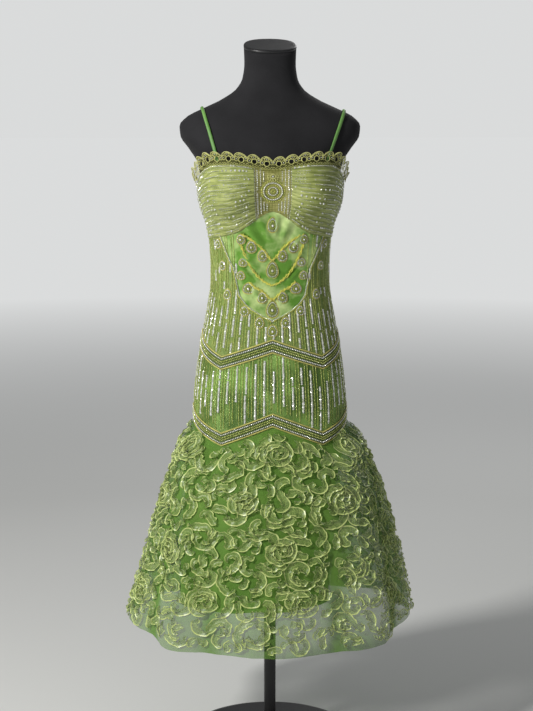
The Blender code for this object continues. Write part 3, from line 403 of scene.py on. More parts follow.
class Graph:
    """Adds nodes to a tree and links them."""

    def __init__(self, tree: Tree) -> None:
        """Keeps the tree."""
        self.tree = tree

    def node(self, kind: str, inputs: dict[Any, Any] | None = None, **settings: Any) -> Node:
        """Adds a node.

        Args:
            kind: its type.
            inputs: a value or a socket for each input's name or number.
            settings: its properties.

        Returns:
            The node.
        """
        made = self.tree.nodes.new(kind)
        for key, value in settings.items():
            setattr(made, key, value)
        return self.tune(made, inputs or {})

    def feed(self, socket: Socket, value: Any) -> None:
        """Links a socket to an input, or sets the input's value. A colour gets its opacity."""
        if isinstance(value, Socket):
            self.tree.links.new(value, socket)
        else:
            socket.default_value = (*value, 1.0) if socket.type == "RGBA" else value

    def tune(self, node: Node, inputs: dict[Any, Any]) -> Node:
        """Sets or links some of a node's inputs, and returns the node."""
        for key, value in inputs.items():
            self.feed(node.inputs[key], value)
        return node

    def math(self, how: str, first: Any, second: Any = 0.0, third: Any = 0.0) -> Socket:
        """One arithmetic step on two or three values."""
        return self.node("ShaderNodeMath", {0: first, 1: second, 2: third}, operation=how).outputs[0]

    def mix(self, share: Any, first: Any, second: Any) -> Socket:
        """A colour between two others."""
        made = self.node("ShaderNodeMix", data_type="RGBA")
        return self.tune(made, {"Factor": share, 6: first, 7: second}).outputs[2]

    def ramp(self, value: Any, low: float, high: float) -> Socket:
        """A value as its share of the way from low to high, 0 to 1."""
        made = self.node("ShaderNodeMapRange", {"Value": value, "From Min": low, "From Max": high})
        return made.outputs[0]

    def attribute(self, name: str) -> Socket:
        """A number kept on the piece's points."""
        return self.node("ShaderNodeAttribute", attribute_name=name).outputs["Fac"]

    def place(self) -> Socket:
        """Where a point is in the piece, in metres."""
        return self.node("ShaderNodeTexCoord").outputs["Object"]

    def cloth(self) -> Socket:
        """Where a point is on the flat cloth, in metres."""
        return self.node("ShaderNodeUVMap", uv_map="cloth").outputs[0]

    def noise(self, where: Any, scale: Any, detail: float = 2.0) -> Socket:
        """Soft noise, 0 to 1."""
        made = self.node("ShaderNodeTexNoise", {"Vector": where, "Scale": scale, "Detail": detail})
        return made.outputs["Fac"]

    def group(self, tree: Tree, **inputs: Any) -> Node:
        """Places a shared group, with its inputs by name."""
        return self.tune(self.node("ShaderNodeGroup", node_tree=tree), inputs)

    def weave(self, across: float, along: float) -> Node:
        """The threads of the flat cloth, so many metres apart."""
        return self.group(weave_group(), Where=self.cloth(), Across=across, Along=along)

    def mottle(self, cloud: float, grain: float, amount: float) -> Socket:
        """Uneven tone and wear, round a half; on the satin it also places the painted highlight."""
        made = self.group(mottle_group(), Where=self.place(), Cloud=cloud, Grain=grain, Amount=amount)
        return made.outputs[0]

    def bump(self, height: Any, strength: float, distance: float) -> Socket:
        """A normal bent by a height."""
        inputs = {"Height": height, "Strength": strength, "Distance": distance}
        return self.node("ShaderNodeBump", inputs).outputs[0]


def open_group(name: str, takes: dict[str, float | None], gives: Sequence[str]) -> tuple[Graph, Any, Any]:
    """Starts a shader group.

    Args:
        name: the group's name.
        takes: each input's name and value, or None for a vector.
        gives: the outputs' names, each a number.

    Returns:
        The graph, its input node and its output node.
    """
    tree = bpy.data.node_groups.new(name, "ShaderNodeTree")
    for key, value in takes.items():
        kind = "NodeSocketVector" if value is None else "NodeSocketFloat"
        socket = tree.interface.new_socket(key, in_out="INPUT", socket_type=kind)
        if value is not None:
            socket.default_value = value
    for key in gives:
        tree.interface.new_socket(key, in_out="OUTPUT", socket_type="NodeSocketFloat")
    graph = Graph(tree)
    return graph, graph.node("NodeGroupInput"), graph.node("NodeGroupOutput")


@cache
def weave_group() -> Tree:
    """Crossing threads: their height, and a mask that is 0 in the holes between them."""
    takes = {"Where": None, "Across": 0.001, "Along": 0.001}
    graph, start, end = open_group("weave", takes, ("Height", "Mask"))
    split = graph.node("ShaderNodeSeparateXYZ", {0: start.outputs["Where"]})
    waves = []
    for axis, pitch in (("X", "Across"), ("Y", "Along")):
        turn = graph.math("DIVIDE", split.outputs[axis], start.outputs[pitch])
        wave = graph.math("COSINE", graph.math("MULTIPLY", turn, 2 * math.pi))
        waves.append(graph.math("MULTIPLY_ADD", wave, 0.5, 0.5))
    height = graph.math("MAXIMUM", *waves)
    graph.tune(end, {"Height": height, "Mask": graph.ramp(height, 0.55, 0.8)})
    return graph.tree


@cache
def mottle_group() -> Tree:
    """A slow cloud and a fine grain, added up round a half: uneven tone and wear, and on the satin the
    patches of painted highlight.
    """
    takes = {"Where": None, "Cloud": 12.0, "Grain": 300.0, "Amount": 0.5}
    graph, start, end = open_group("mottle", takes, ("Value",))
    cloud, grain = (
        graph.noise(start.outputs["Where"], start.outputs[scale]) for scale in ("Cloud", "Grain")
    )
    both = graph.math("ADD", cloud, graph.math("MULTIPLY", grain, 0.5))
    centred = graph.math("MULTIPLY", graph.math("SUBTRACT", both, 0.75), start.outputs["Amount"])
    graph.feed(end.inputs["Value"], graph.math("ADD", centred, 0.5))
    return graph.tree


Colour = tuple[float, float, float]


@dataclass(frozen=True)
class Finish:
    """How a kind of piece looks. Each kind paints its own nodes."""

    name: str
    colour: Colour
    roughness: float = 0.5
    metallic: float = 0.0

    def material(self) -> bpy.types.Material:
        """The finish's material, made once."""
        name = f"{self.name}_finish"
        found = bpy.data.materials.get(name)
        if found:
            return found
        made = bpy.data.materials.new(name)
        made.use_nodes = True
        graph = Graph(made.node_tree)
        looks = {"Base Color": self.colour, "Roughness": self.roughness, "Metallic": self.metallic}
        graph.tune(made.node_tree.nodes["Principled BSDF"], looks | self.paint(graph))
        return made

    def paint(self, graph: Graph) -> dict[str, Any]:
        """Adds this finish's own nodes. Returns what goes into the shader's inputs."""
        return {}


@dataclass(frozen=True)
class Satin(Finish):
    """Duchess satin, with painted highlights: pale patches mixed into its dye."""

    # The colour of the painted highlight patches.
    painted_highlight: Colour = (0.42, 0.72, 0.24)
    thread: float = 0.0007

    def paint(self, graph: Graph) -> dict[str, Any]:
        """Mixes painted highlight patches into the dye with a mottle, and bumps the weave and the fine
        creases.
        """
        # Where the painted highlight shows: soft random patches from the mottle.
        share = graph.ramp(graph.mottle(11.0, 52.0, 1.0), 0.40, 0.80)
        weave = graph.weave(self.thread, self.thread * 1.6)
        crease = graph.noise(graph.place(), 38.0, 3.0)
        height = graph.math("MULTIPLY_ADD", weave.outputs["Height"], 0.05, crease)
        return {
            "Base Color": graph.mix(share, self.colour, self.painted_highlight),
            "Normal": graph.bump(height, 0.30, 0.0022),
            "Sheen Weight": 0.2, "Sheen Roughness": 0.3, "Sheen Tint": (0.75, 1.0, 0.55),
            "Specular IOR Level": 0.8, "Anisotropic": 0.4,
        }


@dataclass(frozen=True)
class CordedNet(Finish):
    """Net over satin, with upright lines of couched thread."""

    thread_colour: Colour = (0.42, 0.44, 0.10)
    pitch: float = 0.0032
    net: float = 0.0013
    # The colour of the painted highlight patches on the satin under the net.
    painted_highlight: Colour = (0.1, 0.2, 0.02)

    def paint(self, graph: Graph) -> dict[str, Any]:
        """Draws the threads on the satin, which gets painted highlight patches, and raises them."""
        lines, fine = graph.weave(self.pitch, 1000.0), graph.weave(self.net, self.net)
        across = graph.node("ShaderNodeSeparateXYZ", {0: graph.cloth()}).outputs["X"]
        wave = graph.math("COSINE", graph.math("MULTIPLY", across, 2 * math.pi / self.pitch))
        worn = graph.ramp(graph.mottle(60.0, 700.0, 1.6), 0.2, 0.75)
        share = graph.math("MULTIPLY", graph.ramp(wave, 0.35, 0.95), worn)
        netted = graph.math("MAXIMUM", share, graph.math("MULTIPLY", fine.outputs["Mask"], 0.35))
        # Where the painted highlight shows on the satin, in soft noise patches.
        glow = graph.ramp(graph.noise(graph.place(), 17.0), 0.42, 0.68)
        satin = graph.mix(glow, self.colour, self.painted_highlight)
        height = graph.math("MULTIPLY_ADD", lines.outputs["Height"], 1.2, fine.outputs["Height"])
        return {
            "Base Color": graph.mix(netted, satin, self.thread_colour),
            "Normal": graph.bump(height, 0.5, 0.0012),
            "Sheen Weight": 0.25, "Sheen Tint": (0.8, 0.9, 0.4),
        }


@dataclass(frozen=True)
class RuchedTulle(Finish):
    """Tulle in gathers, with painted shade in the valleys between them."""

    # The colour mixed in where crest is low: painted shade in the valleys on the cups, a darker roundel on
    # the insert.
    valley: Colour = (0.16, 0.27, 0.03)

    def paint(self, graph: Graph) -> dict[str, Any]:
        """Paints shade into the valleys of the gathers and between the fine pleats, unevenly, and draws the
        net's threads.
        """
        cloud = graph.ramp(graph.mottle(45.0, 900.0, 1.1), 0.0, 0.7)
        along = graph.node("ShaderNodeMapping", {"Vector": graph.cloth(), "Scale": (34.0, 620.0, 1.0)})
        pleats = graph.ramp(graph.noise(along.outputs[0], 1.0, 2.0), 0.34, 0.66)
        # The crest number mixes in the valley colour: on the cups, painted shade in the gathers' valleys; the
        # pleat noise adds painted shade between fine pleats.
        crest = graph.math("MULTIPLY", graph.attribute("crest"), cloud)
        crest = graph.math("MULTIPLY_ADD", graph.math("SUBTRACT", pleats, 0.5), 0.75, crest)
        net = graph.weave(0.0014, 0.0011)
        crush = graph.noise(graph.place(), 160.0, 3.0)
        height = graph.math("MULTIPLY_ADD", net.outputs["Height"], 0.25, crush)
        height = graph.math("MULTIPLY_ADD", pleats, 1.3, height)
        return {
            "Base Color": graph.mix(graph.ramp(crest, 0.0, 1.0), self.valley, self.colour),
            "Normal": graph.bump(height, 0.5, 0.0009),
            "Sheen Weight": 0.3, "Sheen Tint": (0.85, 0.95, 0.5),
        }


@dataclass(frozen=True)
class SheerNet(Finish):
    """Sheer tulle, whose threads hide a share of what is behind them."""

    cover: float = 0.3
    threads: float = 0.3
    pitch: float = 0.0009

    def paint(self, graph: Graph) -> dict[str, Any]:
        """Opens the holes of the net, and paints shade into the troughs between the skirt's folds by making
        the net more opaque there.
        """
        net = graph.weave(self.pitch, 0.9 * self.pitch)
        cloud = graph.ramp(graph.noise(graph.place(), 14.0), 0.3, 0.7)
        cover = graph.math("MULTIPLY_ADD", net.outputs["Mask"], self.threads, self.cover)
        # Painted shade: the net is made more opaque in the fold troughs.
        cover = graph.math("MULTIPLY_ADD", graph.attribute("fold"), 0.42, cover)
        return {
            "Alpha": graph.math("MULTIPLY_ADD", cloud, 0.08, cover),
            "Normal": graph.bump(net.outputs["Height"], 0.15, 0.0003),
            "Specular IOR Level": 0.1, "Sheen Weight": 0.15,
        }


@dataclass(frozen=True)
class Organza(Finish):
    """Crisp see-through ribbon, with a painted highlight and more cover along its edges and ends."""

    # The colour of the painted highlight on the ribbon's edges.
    edge: Colour = (0.52, 0.62, 0.13)
    cover: float = 0.34

    def paint(self, graph: Graph) -> dict[str, Any]:
        """Thins the middle of the ribbon, paints a highlight on its edges and ends, streaks it and crinkles
        it.
        """
        streak = graph.ramp(graph.noise(graph.place(), 420.0, 2.0), 0.38, 0.66)
        cloud = graph.ramp(graph.noise(graph.place(), 60.0, 3.0), 0.3, 0.7)
        veil = graph.math("MULTIPLY", graph.math("MULTIPLY_ADD", streak, 0.5, 0.15), cloud)
        # rim: the painted edge highlight from the edge marks, with streaks of tone in between.
        rim = graph.math("MAXIMUM", graph.attribute("edge"), veil)
        return {
            "Base Color": graph.mix(rim, self.colour, self.edge),
            "Alpha": graph.math("MULTIPLY_ADD", rim, 0.96 - self.cover, self.cover),
            "Normal": graph.bump(graph.noise(graph.place(), 240.0, 3.0), 0.5, 0.001),
            "Sheen Weight": 0.3, "Specular IOR Level": 0.7,
        }


@dataclass(frozen=True)
class Beads(Finish):
    """Beads or sequins, each a little different from the next."""

    other: Colour = (0.6, 0.62, 0.3)
    spread: float = 260.0

    def paint(self, graph: Graph) -> dict[str, Any]:
        """Varies the colour and gloss from bead to bead."""
        noise = graph.noise(graph.place(), self.spread, 0.0)
        return {
            "Base Color": graph.mix(graph.ramp(noise, 0.4, 0.6), self.colour, self.other),
            "Roughness": graph.math("MULTIPLY_ADD", noise, 0.3, self.roughness - 0.12),
            "Coat Weight": 0.5, "Coat Roughness": 0.08,
        }


@dataclass(frozen=True)
class Thread(Finish):
    """Twisted cord, lace thread or woven tape."""

    twist: float = 0.0016

    def paint(self, graph: Graph) -> dict[str, Any]:
        """Twists the thread with slanting ridges, with painted shade in their grooves."""
        x, y, z = graph.node("ShaderNodeSeparateXYZ", {0: graph.place()}).outputs
        slant = graph.math("ADD", graph.math("ADD", x, y), z)
        ridge = graph.math("SINE", graph.math("MULTIPLY", slant, 2 * math.pi / self.twist))
        share = graph.math("MULTIPLY_ADD", ridge, 0.25, graph.mottle(80.0, 900.0, 1.0))
        # Darker colour in the twist's grooves as painted shade, and in random patches as uneven tone.
        groove_shade_and_tone = tuple(c * 0.45 for c in self.colour)
        return {
            "Base Color": graph.mix(graph.ramp(share, 0.15, 0.75), groove_shade_and_tone, self.colour),
            "Normal": graph.bump(ridge, 0.4, 0.0004), "Sheen Weight": 0.2,
        }


@dataclass(frozen=True)
class Jersey(Finish):
    """Matt black jersey stretched over the form."""

    def paint(self, graph: Graph) -> dict[str, Any]:
        """Knits fine ribs and adds a little lint."""
        knit = graph.weave(0.0016, 0.0022)
        lint = tuple(c * 2.4 + 0.006 for c in self.colour)
        return {
            "Base Color": graph.mix(graph.mottle(18.0, 500.0, 0.8), self.colour, lint),
            "Normal": graph.bump(knit.outputs["Height"], 0.25, 0.0004),
            "Sheen Weight": 0.03, "Sheen Roughness": 0.6, "Specular IOR Level": 0.16,
        }


@dataclass(frozen=True)
class CoatedMetal(Finish):
    """Metal with a fine grain, worn a little."""

    grain: float = 900.0

    def paint(self, graph: Graph) -> dict[str, Any]:
        """Grains the coat and scuffs its gloss."""
        mottle = graph.mottle(25.0, self.grain, 0.7)
        pale = tuple(min(1.0, c * 1.5 + 0.006) for c in self.colour)
        return {
            "Base Color": graph.mix(mottle, self.colour, pale),
            "Roughness": graph.math("MULTIPLY_ADD", mottle, 0.3, self.roughness - 0.15),
            "Normal": graph.bump(graph.noise(graph.place(), self.grain), 0.12, 0.0003),
        }


@dataclass(frozen=True)
class StudioFloor(Finish):
    """Matt paint that fades into the backdrop far away."""

    haze: Colour = (0.6, 0.6, 0.6)
    near: float = 2.2
    far: float = 7.5

    def paint(self, graph: Graph) -> dict[str, Any]:
        """Mottles the paint and adds the haze."""
        reach = graph.node("ShaderNodeVectorMath", {0: graph.place()}, operation="LENGTH")
        faded = graph.ramp(reach.outputs["Value"], self.near, self.far)
        dull = tuple(c * 0.93 for c in self.colour)
        painted = graph.mix(graph.mottle(1.5, 60.0, 0.25), dull, self.colour)
        black = (0.0, 0.0, 0.0)
        return {
            "Base Color": graph.mix(faded, painted, black),
            "Emission Color": graph.mix(faded, black, self.haze),
            "Emission Strength": 1.0, "Specular IOR Level": 0.1,
        }


SATIN = Satin("green_satin", (0.13, 0.32, 0.03), 0.32, 0.5, painted_highlight=(0.86, 1.0, 0.45))
SKIRT_SATIN = Satin("underskirt_satin", (0.12, 0.36, 0.02), 0.38, 0.2, painted_highlight=(0.62, 0.92, 0.18))
STRAP_SATIN = Satin("strap_satin", (0.08, 0.23, 0.03), 0.62, 0.0, painted_highlight=(0.15, 0.33, 0.07))
NET = CordedNet(
    "corded_net", (0.055, 0.15, 0.013), 0.42, thread_colour=(0.48, 0.50, 0.15), painted_highlight=(0.09, 0.21, 0.02)
)
HIP_SATIN = CordedNet(
    "hip_satin", (0.03, 0.10, 0.008), 0.3, 0.3, thread_colour=(0.24, 0.34, 0.075), pitch=0.0085,
    painted_highlight=(0.26, 0.47, 0.10),
)
BAND_NET = CordedNet(
    "band_net", (0.04, 0.085, 0.012), 0.5, thread_colour=(0.14, 0.19, 0.04), painted_highlight=(0.04, 0.085, 0.012)
)
DROP_GROUND = Thread("drop_ground", (0.20, 0.26, 0.05), 0.5)
TULLE = RuchedTulle("ruched_tulle", (0.39, 0.43, 0.14), 0.5, valley=(0.14, 0.18, 0.03))
INSERT = RuchedTulle("insert_tulle", (0.44, 0.41, 0.15), 0.5, valley=(0.17, 0.18, 0.03))
SHEER = SheerNet("sheer_tulle", (0.11, 0.22, 0.035), 0.6, cover=0.46, threads=0.22)
LACE_NET = SheerNet("lace_net", (0.16, 0.17, 0.03), 0.7, cover=0.1, threads=0.35, pitch=0.0016)
ORGANZA = Organza("organza_ribbon", (0.20, 0.30, 0.07), 0.38, edge=(0.48, 0.56, 0.19))
SILVER = Beads("silver_beads", (0.90, 0.91, 0.90), 0.2, 0.5, other=(0.58, 0.60, 0.50))
GOLD = Beads("gold_green_beads", (0.62, 0.62, 0.12), 0.28, 0.25, other=(0.42, 0.50, 0.10))
GREEN_BEAD = Beads("green_beads", (0.34, 0.42, 0.08), 0.25, 0.2, other=(0.52, 0.56, 0.18))
GOLD_CORD = Thread("gold_cord", (0.60, 0.56, 0.13), 0.5)
CHAIN_CORD = Thread("chain_cord", (0.74, 0.72, 0.10), 0.45)
LACE_THREAD = Thread("lace_thread", (0.64, 0.65, 0.22), 0.55)
ZIP_CLOTH = Thread("zip_tape", (0.13, 0.26, 0.06), 0.6)
ZIP_METAL = CoatedMetal("zip_metal", (0.55, 0.58, 0.48), 0.3, 0.95)
JERSEY = Jersey("black_jersey", (0.006, 0.006, 0.007), 0.8)
BLACK_METAL = CoatedMetal("black_coat", (0.008, 0.008, 0.009), 0.42, 0.2)


# Meshes


@dataclass
class Cut:
    """The flat size that a piece of cloth was cut to.

    Attributes:
        width: metres, round the body.
        length: metres, up and down.
        area: square metres.
        held: how the cloth is held.
    """

    width: float
    length: float
    area: float
    held: str

    @classmethod
    def of(cls, points: Array, held: str = "stretched", gather: float = 1.0) -> Cut:
        """The cut of a grid of points.

        Args:
            points: the grid, measured along its rows and columns.
            held: how the cloth is held.
            gather: how many times as long it was cut as it is worn.
        """
        across = np.linalg.norm(np.diff(points, axis=1), axis=-1)
        along = np.linalg.norm(np.diff(points, axis=0), axis=-1)
        width, length = float(across.sum(1).max()), float(along.sum(0).max())
        middle = (across[:-1] + across[1:]) / 2 * (along[:, :-1] + along[:, 1:]) / 2
        area = min(max(float(middle.sum()), LEAST_SHARE * width * length), width * length)
        return cls(max(width, NARROWEST), length * gather, area * gather, held)


def placed(name: str, data: Any) -> Piece:
    """An object with its data, in the scene."""
    made = bpy.data.objects.new(name, data)
    bpy.context.scene.collection.objects.link(made)
    return made


def mesh_object(name: str, points: Array, faces: Sequence[Sequence[int]]) -> Piece:
    """A smooth mesh object from points in metres and faces."""
    mesh = bpy.data.meshes.new(name)
    mesh.from_pydata(np.asarray(points).reshape(-1, 3).tolist(), [], [list(f) for f in faces])
    mesh.shade_smooth()
    return placed(name, mesh)


def points_of(mesh: bpy.types.Mesh) -> Array:
    """The mesh's points, in metres."""
    values = np.empty(3 * len(mesh.vertices), dtype=np.float32)
    mesh.vertices.foreach_get("co", values)
    return values.reshape(-1, 3)


def mark(piece: Piece, name: str, values: Array) -> None:
    """Keeps a number on each of the piece's points."""
    layer = piece.data.attributes.new(name, "FLOAT", "POINT")
    layer.data.foreach_set("value", np.asarray(values, dtype=np.float32).ravel())


def lay_out(piece: Piece, flat: Array) -> None:
    """Gives the piece its flat layout, in metres, as its UV map."""
    layer = piece.data.uv_layers.new(name="cloth")
    corners = np.empty(len(piece.data.loops), dtype=np.int64)
    piece.data.loops.foreach_get("vertex_index", corners)
    layer.data.foreach_set("uv", np.asarray(flat, np.float32).reshape(-1, 2)[corners].ravel())


def grid_faces(rows: int, columns: int, loop: bool = False, skip: Array | None = None) -> list[list[int]]:
    """Quads of a grid whose rows go up and whose columns go to the right.

    Args:
        rows: how many rows of points.
        columns: how many points in a row.
        loop: whether the last column joins the first.
        skip: which quads are left out, as an array of truths.
    """
    across = columns if loop else columns - 1
    r, c = np.meshgrid(np.arange(rows - 1), np.arange(across), indexing="ij")
    if skip is not None:
        r, c = r[~skip], c[~skip]
    low, c = r.ravel() * columns, c.ravel()
    d = (c + 1) % columns
    return np.stack((low + c, low + d, low + columns + d, low + columns + c), 1).tolist()


def lofted(name: str, rings: Array) -> Piece:
    """A piece through rings of points, closed at both ends."""
    count, sides = rings.shape[:2]
    faces = grid_faces(count, sides, loop=True)
    faces.append(list(reversed(range(sides))))
    faces.append([(count - 1) * sides + k for k in range(sides)])
    return mesh_object(name, rings, faces)


def flat_grid(angles: Array, heights: Array) -> Array:
    """Flat points from rows, or one row, of angles and the rows of their heights."""
    return np.stack(np.broadcast_arrays(angles, heights), -1)


def rising(angles: Array, low: Array, high: Array, rows: int) -> Array:
    """A grid of flat points whose columns rise from low to high."""
    return flat_grid(angles, low + (high - low) * np.linspace(0, 1, rows)[:, None])


def upright(angle: float, low: float, high: float, count: int) -> Array:
    """Flat points up a straight line."""
    return np.stack((np.full(count, angle), np.linspace(low, high, count)), -1)


def mirrored(flat: Array) -> Array:
    """A grid of flat points on the body's other side."""
    return flat[:, ::-1] * (-1, 1)


def patch(bottom: Array, top: Array, left: Array, right: Array) -> Array:
    """A grid of flat points between four edges, which meet at its corners.

    Args:
        bottom: points along the lower edge.
        top: as many points along the upper edge.
        left: points up the left edge.
        right: as many points up the right edge.
    """
    u = np.linspace(0, 1, len(bottom))[None, :, None]
    v = np.linspace(0, 1, len(left))[:, None, None]
    corners = (
        (1 - u) * (1 - v) * bottom[0] + u * (1 - v) * bottom[-1] + (1 - u) * v * top[0] + u * v * top[-1]
    )
    return (1 - v) * bottom[None] + v * top[None] + (1 - u) * left[:, None] + u * right[:, None] - corners


def even(path: Array, count: int) -> Array:
    """A flat path with so many points, as far apart as each other in height and angle."""
    steps = np.hypot(*(np.diff(path, axis=0) * (FLAT_DEGREE, 1.0)).T)
    run = np.concatenate(([0], np.cumsum(steps)))
    at = np.linspace(0, run[-1], count)
    return np.stack([np.interp(at, run, path[:, k]) for k in range(2)], -1)


def seam_run(line: Rows, start: float, end: float, count: int, shift: float = 0.0) -> Array:
    """Flat points along a seam line, moved up by shift."""
    angles = np.linspace(start, end, count)
    return np.stack((angles, seam(line, angles) + shift), -1)


def dress_piece(
    piece: Piece,
    finish: Finish,
    slot: str,
    nodes: Sequence[str] = (),
    cut: Cut | None = None,
    with_pieces: Sequence[Piece] = (),
) -> Piece:
    """Gives a piece its finish and its place in the part.

    Args:
        piece: the piece.
        finish: its finish.
        slot: the record's material slot; not used.
        nodes: the solids that it stands for.
        cut: its flat size, where it is a sheet of cloth; not used.
        with_pieces: the pieces that are sewn on a sheet; not used.

    Returns:
        The piece.
    """
    piece.data.materials.clear()
    piece.data.materials.append(finish.material())
    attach(piece, DRESS)
    if nodes:
        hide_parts(*nodes)
    logging.info("%s: %d faces", piece.name, len(piece.data.polygons))
    return piece


def cloth_grid(
    name: str, surface: Surface, flat: Array, out: Array | float, wall: float = 0
) -> Piece:
    """A piece of cloth from a grid of flat points.

    Args:
        name: the piece's name.
        surface: what it is wrapped round.
        flat: rows and columns of angle and height.
        out: how far each point stands off, mm.
        wall: its thickness on its inner side, mm, or 0 for a single layer.

    Returns:
        The piece, with its flat layout.
    """
    piece = mesh_object(name, surface.lay(flat, out), grid_faces(*flat.shape[:2]))
    lay_out(piece, flat * (FLAT_DEGREE * MM, MM))
    if wall:
        change = piece.modifiers.new("wall", "SOLIDIFY")
        change.thickness = wall * MM
        change.offset = -1.0
    return piece


@dataclass(frozen=True)
class Cloth:
    """What the sheets of one kind share.

    Attributes:
        surface: what they are wrapped round.
        base: how far the smooth cloth that was cut stands off, mm.
        wall: their thickness, mm.
        finish: their finish.
        slot: the record's material slot.
        held: how they are held.
        gather: how many times as long they were cut as they are worn.
    """

    surface: Surface
    base: float
    wall: float
    finish: Finish
    slot: str
    held: str = "stretched"
    gather: float = 1.0

    def sheet(self, name: str, node: str, flat: Array, out: Array | float) -> Piece:
        """Makes one sheet, which stands for a solid, on a grid of flat points."""
        piece = cloth_grid(name, self.surface, flat, out, self.wall)
        cut = Cut.of(self.surface.lay(flat, self.base), self.held, self.gather)
        return dress_piece(piece, self.finish, self.slot, [node], cut)


def creased(flat: Array, rows: Rows, sign: int = 1) -> Array:
    """How far soft ridges and troughs move flat points out, mm.

    Args:
        flat: the points.
        rows: each crease's start and end as angle and height, its width, and its depth, mm, which is
            below 0 for a trough.
        sign: -1 to mirror them.
    """
    total = np.zeros(flat.shape[:-1])
    scale = np.array((2.0, 1.0))
    for *ends, width, depth in rows:
        start, end = np.array(ends).reshape(2, 2) * (sign, 1) * scale
        span = end - start
        t = ((flat * scale - start) @ span) / (span @ span)
        near = flat * scale - (start + np.clip(t, 0, 1)[..., None] * span)
        taper = np.clip(1 - np.abs(2 * np.clip(t, 0, 1) - 1) ** 2.5, 0, 1)
        total = total + depth * taper * np.exp(-(np.linalg.norm(near, axis=-1) / width) ** 2)
    return total


class Heap:
    """Gathers many small shapes into one mesh."""

    def __init__(self) -> None:
        """Starts empty."""
        self.points: list[Array] = []
        self.faces: list[list[int]] = []
        self.marks: list[Array] = []
        self.count = 0

    def add(self, points: Array, faces: Sequence[Sequence[int]], marks: Array | None = None) -> None:
        """Adds a shape and the number on each of its points."""
        points = points.reshape(-1, 3)
        self.points.append(points)
        self.faces += [[i + self.count for i in face] for face in faces]
        self.marks.append(np.zeros(len(points)) if marks is None else marks.ravel())
        self.count += len(points)

    def cord(self, flat: Array, out: Any, radius: float, sides: int = 6, closed: bool = False) -> None:
        """Adds a cord along a flat line round the body, so far out and so thick, in mm."""
        path, facing = BODY_SHAPE.lay(flat, out), BODY_SHAPE.facing(flat)
        if closed:
            ahead = np.roll(path, -1, 0) - np.roll(path, 1, 0)
        else:
            ahead = np.gradient(path, axis=0)
        across = unit(np.cross(ahead, facing))
        out = unit(np.cross(across, ahead))
        turn = 2 * np.pi * np.arange(sides) / sides
        rings = path[:, None] + radius * MM * (
            np.cos(turn)[None, :, None] * across[:, None] + np.sin(turn)[None, :, None] * out[:, None]
        )
        count = len(path)
        faces = []
        for i in range(count if closed else count - 1):
            j = (i + 1) % count
            for k in range(sides):
                n = (k + 1) % sides
                faces.append([i * sides + k, j * sides + k, j * sides + n, i * sides + n])
        if not closed:
            faces.append(list(range(sides)))
            faces.append([(count - 1) * sides + k for k in reversed(range(sides))])
        self.add(rings, faces)

    def piece(self, name: str, marks: str = "") -> Piece:
        """The mesh of all that was added, with its numbers under a name."""
        made = mesh_object(name, np.concatenate(self.points), self.faces)
        if marks:
            mark(made, marks, np.concatenate(self.marks))
        return made


class BeadShape(Enum):
    """The small shapes that are sewn on."""

    ROUND = "round"
    SEED = "seed"
    SEQUIN = "sequin"
    BUGLE = "bugle"
    RING = "ring"


BEADS = {
    BeadShape.ROUND: ("IcoSphere", {"Radius": 0.5, "Subdivisions": 1}),
    BeadShape.SEED: ("UVSphere", {"Segments": 5, "Rings": 2, "Radius": 0.5}),
    BeadShape.SEQUIN: ("Cone", {"Vertices": 7, "Radius Top": 0.2, "Radius Bottom": 0.5, "Depth": 1.0}),
    BeadShape.BUGLE: ("Cylinder", {"Vertices": 6, "Radius": 0.5, "Depth": 1.0}),
}


def bead(graph: Graph, shape: BeadShape) -> Socket:
    """One bead of unit size that lies along X and faces Z."""
    if shape is BeadShape.RING:
        line, cord = (
            graph.node("GeometryNodeCurvePrimitiveCircle", {"Resolution": points, "Radius": radius})
            for points, radius in ((14, 0.44), (5, 0.07))
        )
        inputs = {"Curve": line.outputs[0], "Profile Curve": cord.outputs[0]}
        return graph.node("GeometryNodeCurveToMesh", inputs).outputs[0]
    kind, inputs = BEADS[shape]
    made = graph.node(f"GeometryNodeMesh{kind}", inputs).outputs[0]
    if shape is BeadShape.BUGLE:
        inputs = {"Geometry": made, "Rotation": (0, math.pi / 2, 0)}
        made = graph.node("GeometryNodeTransform", inputs).outputs[0]
    return made


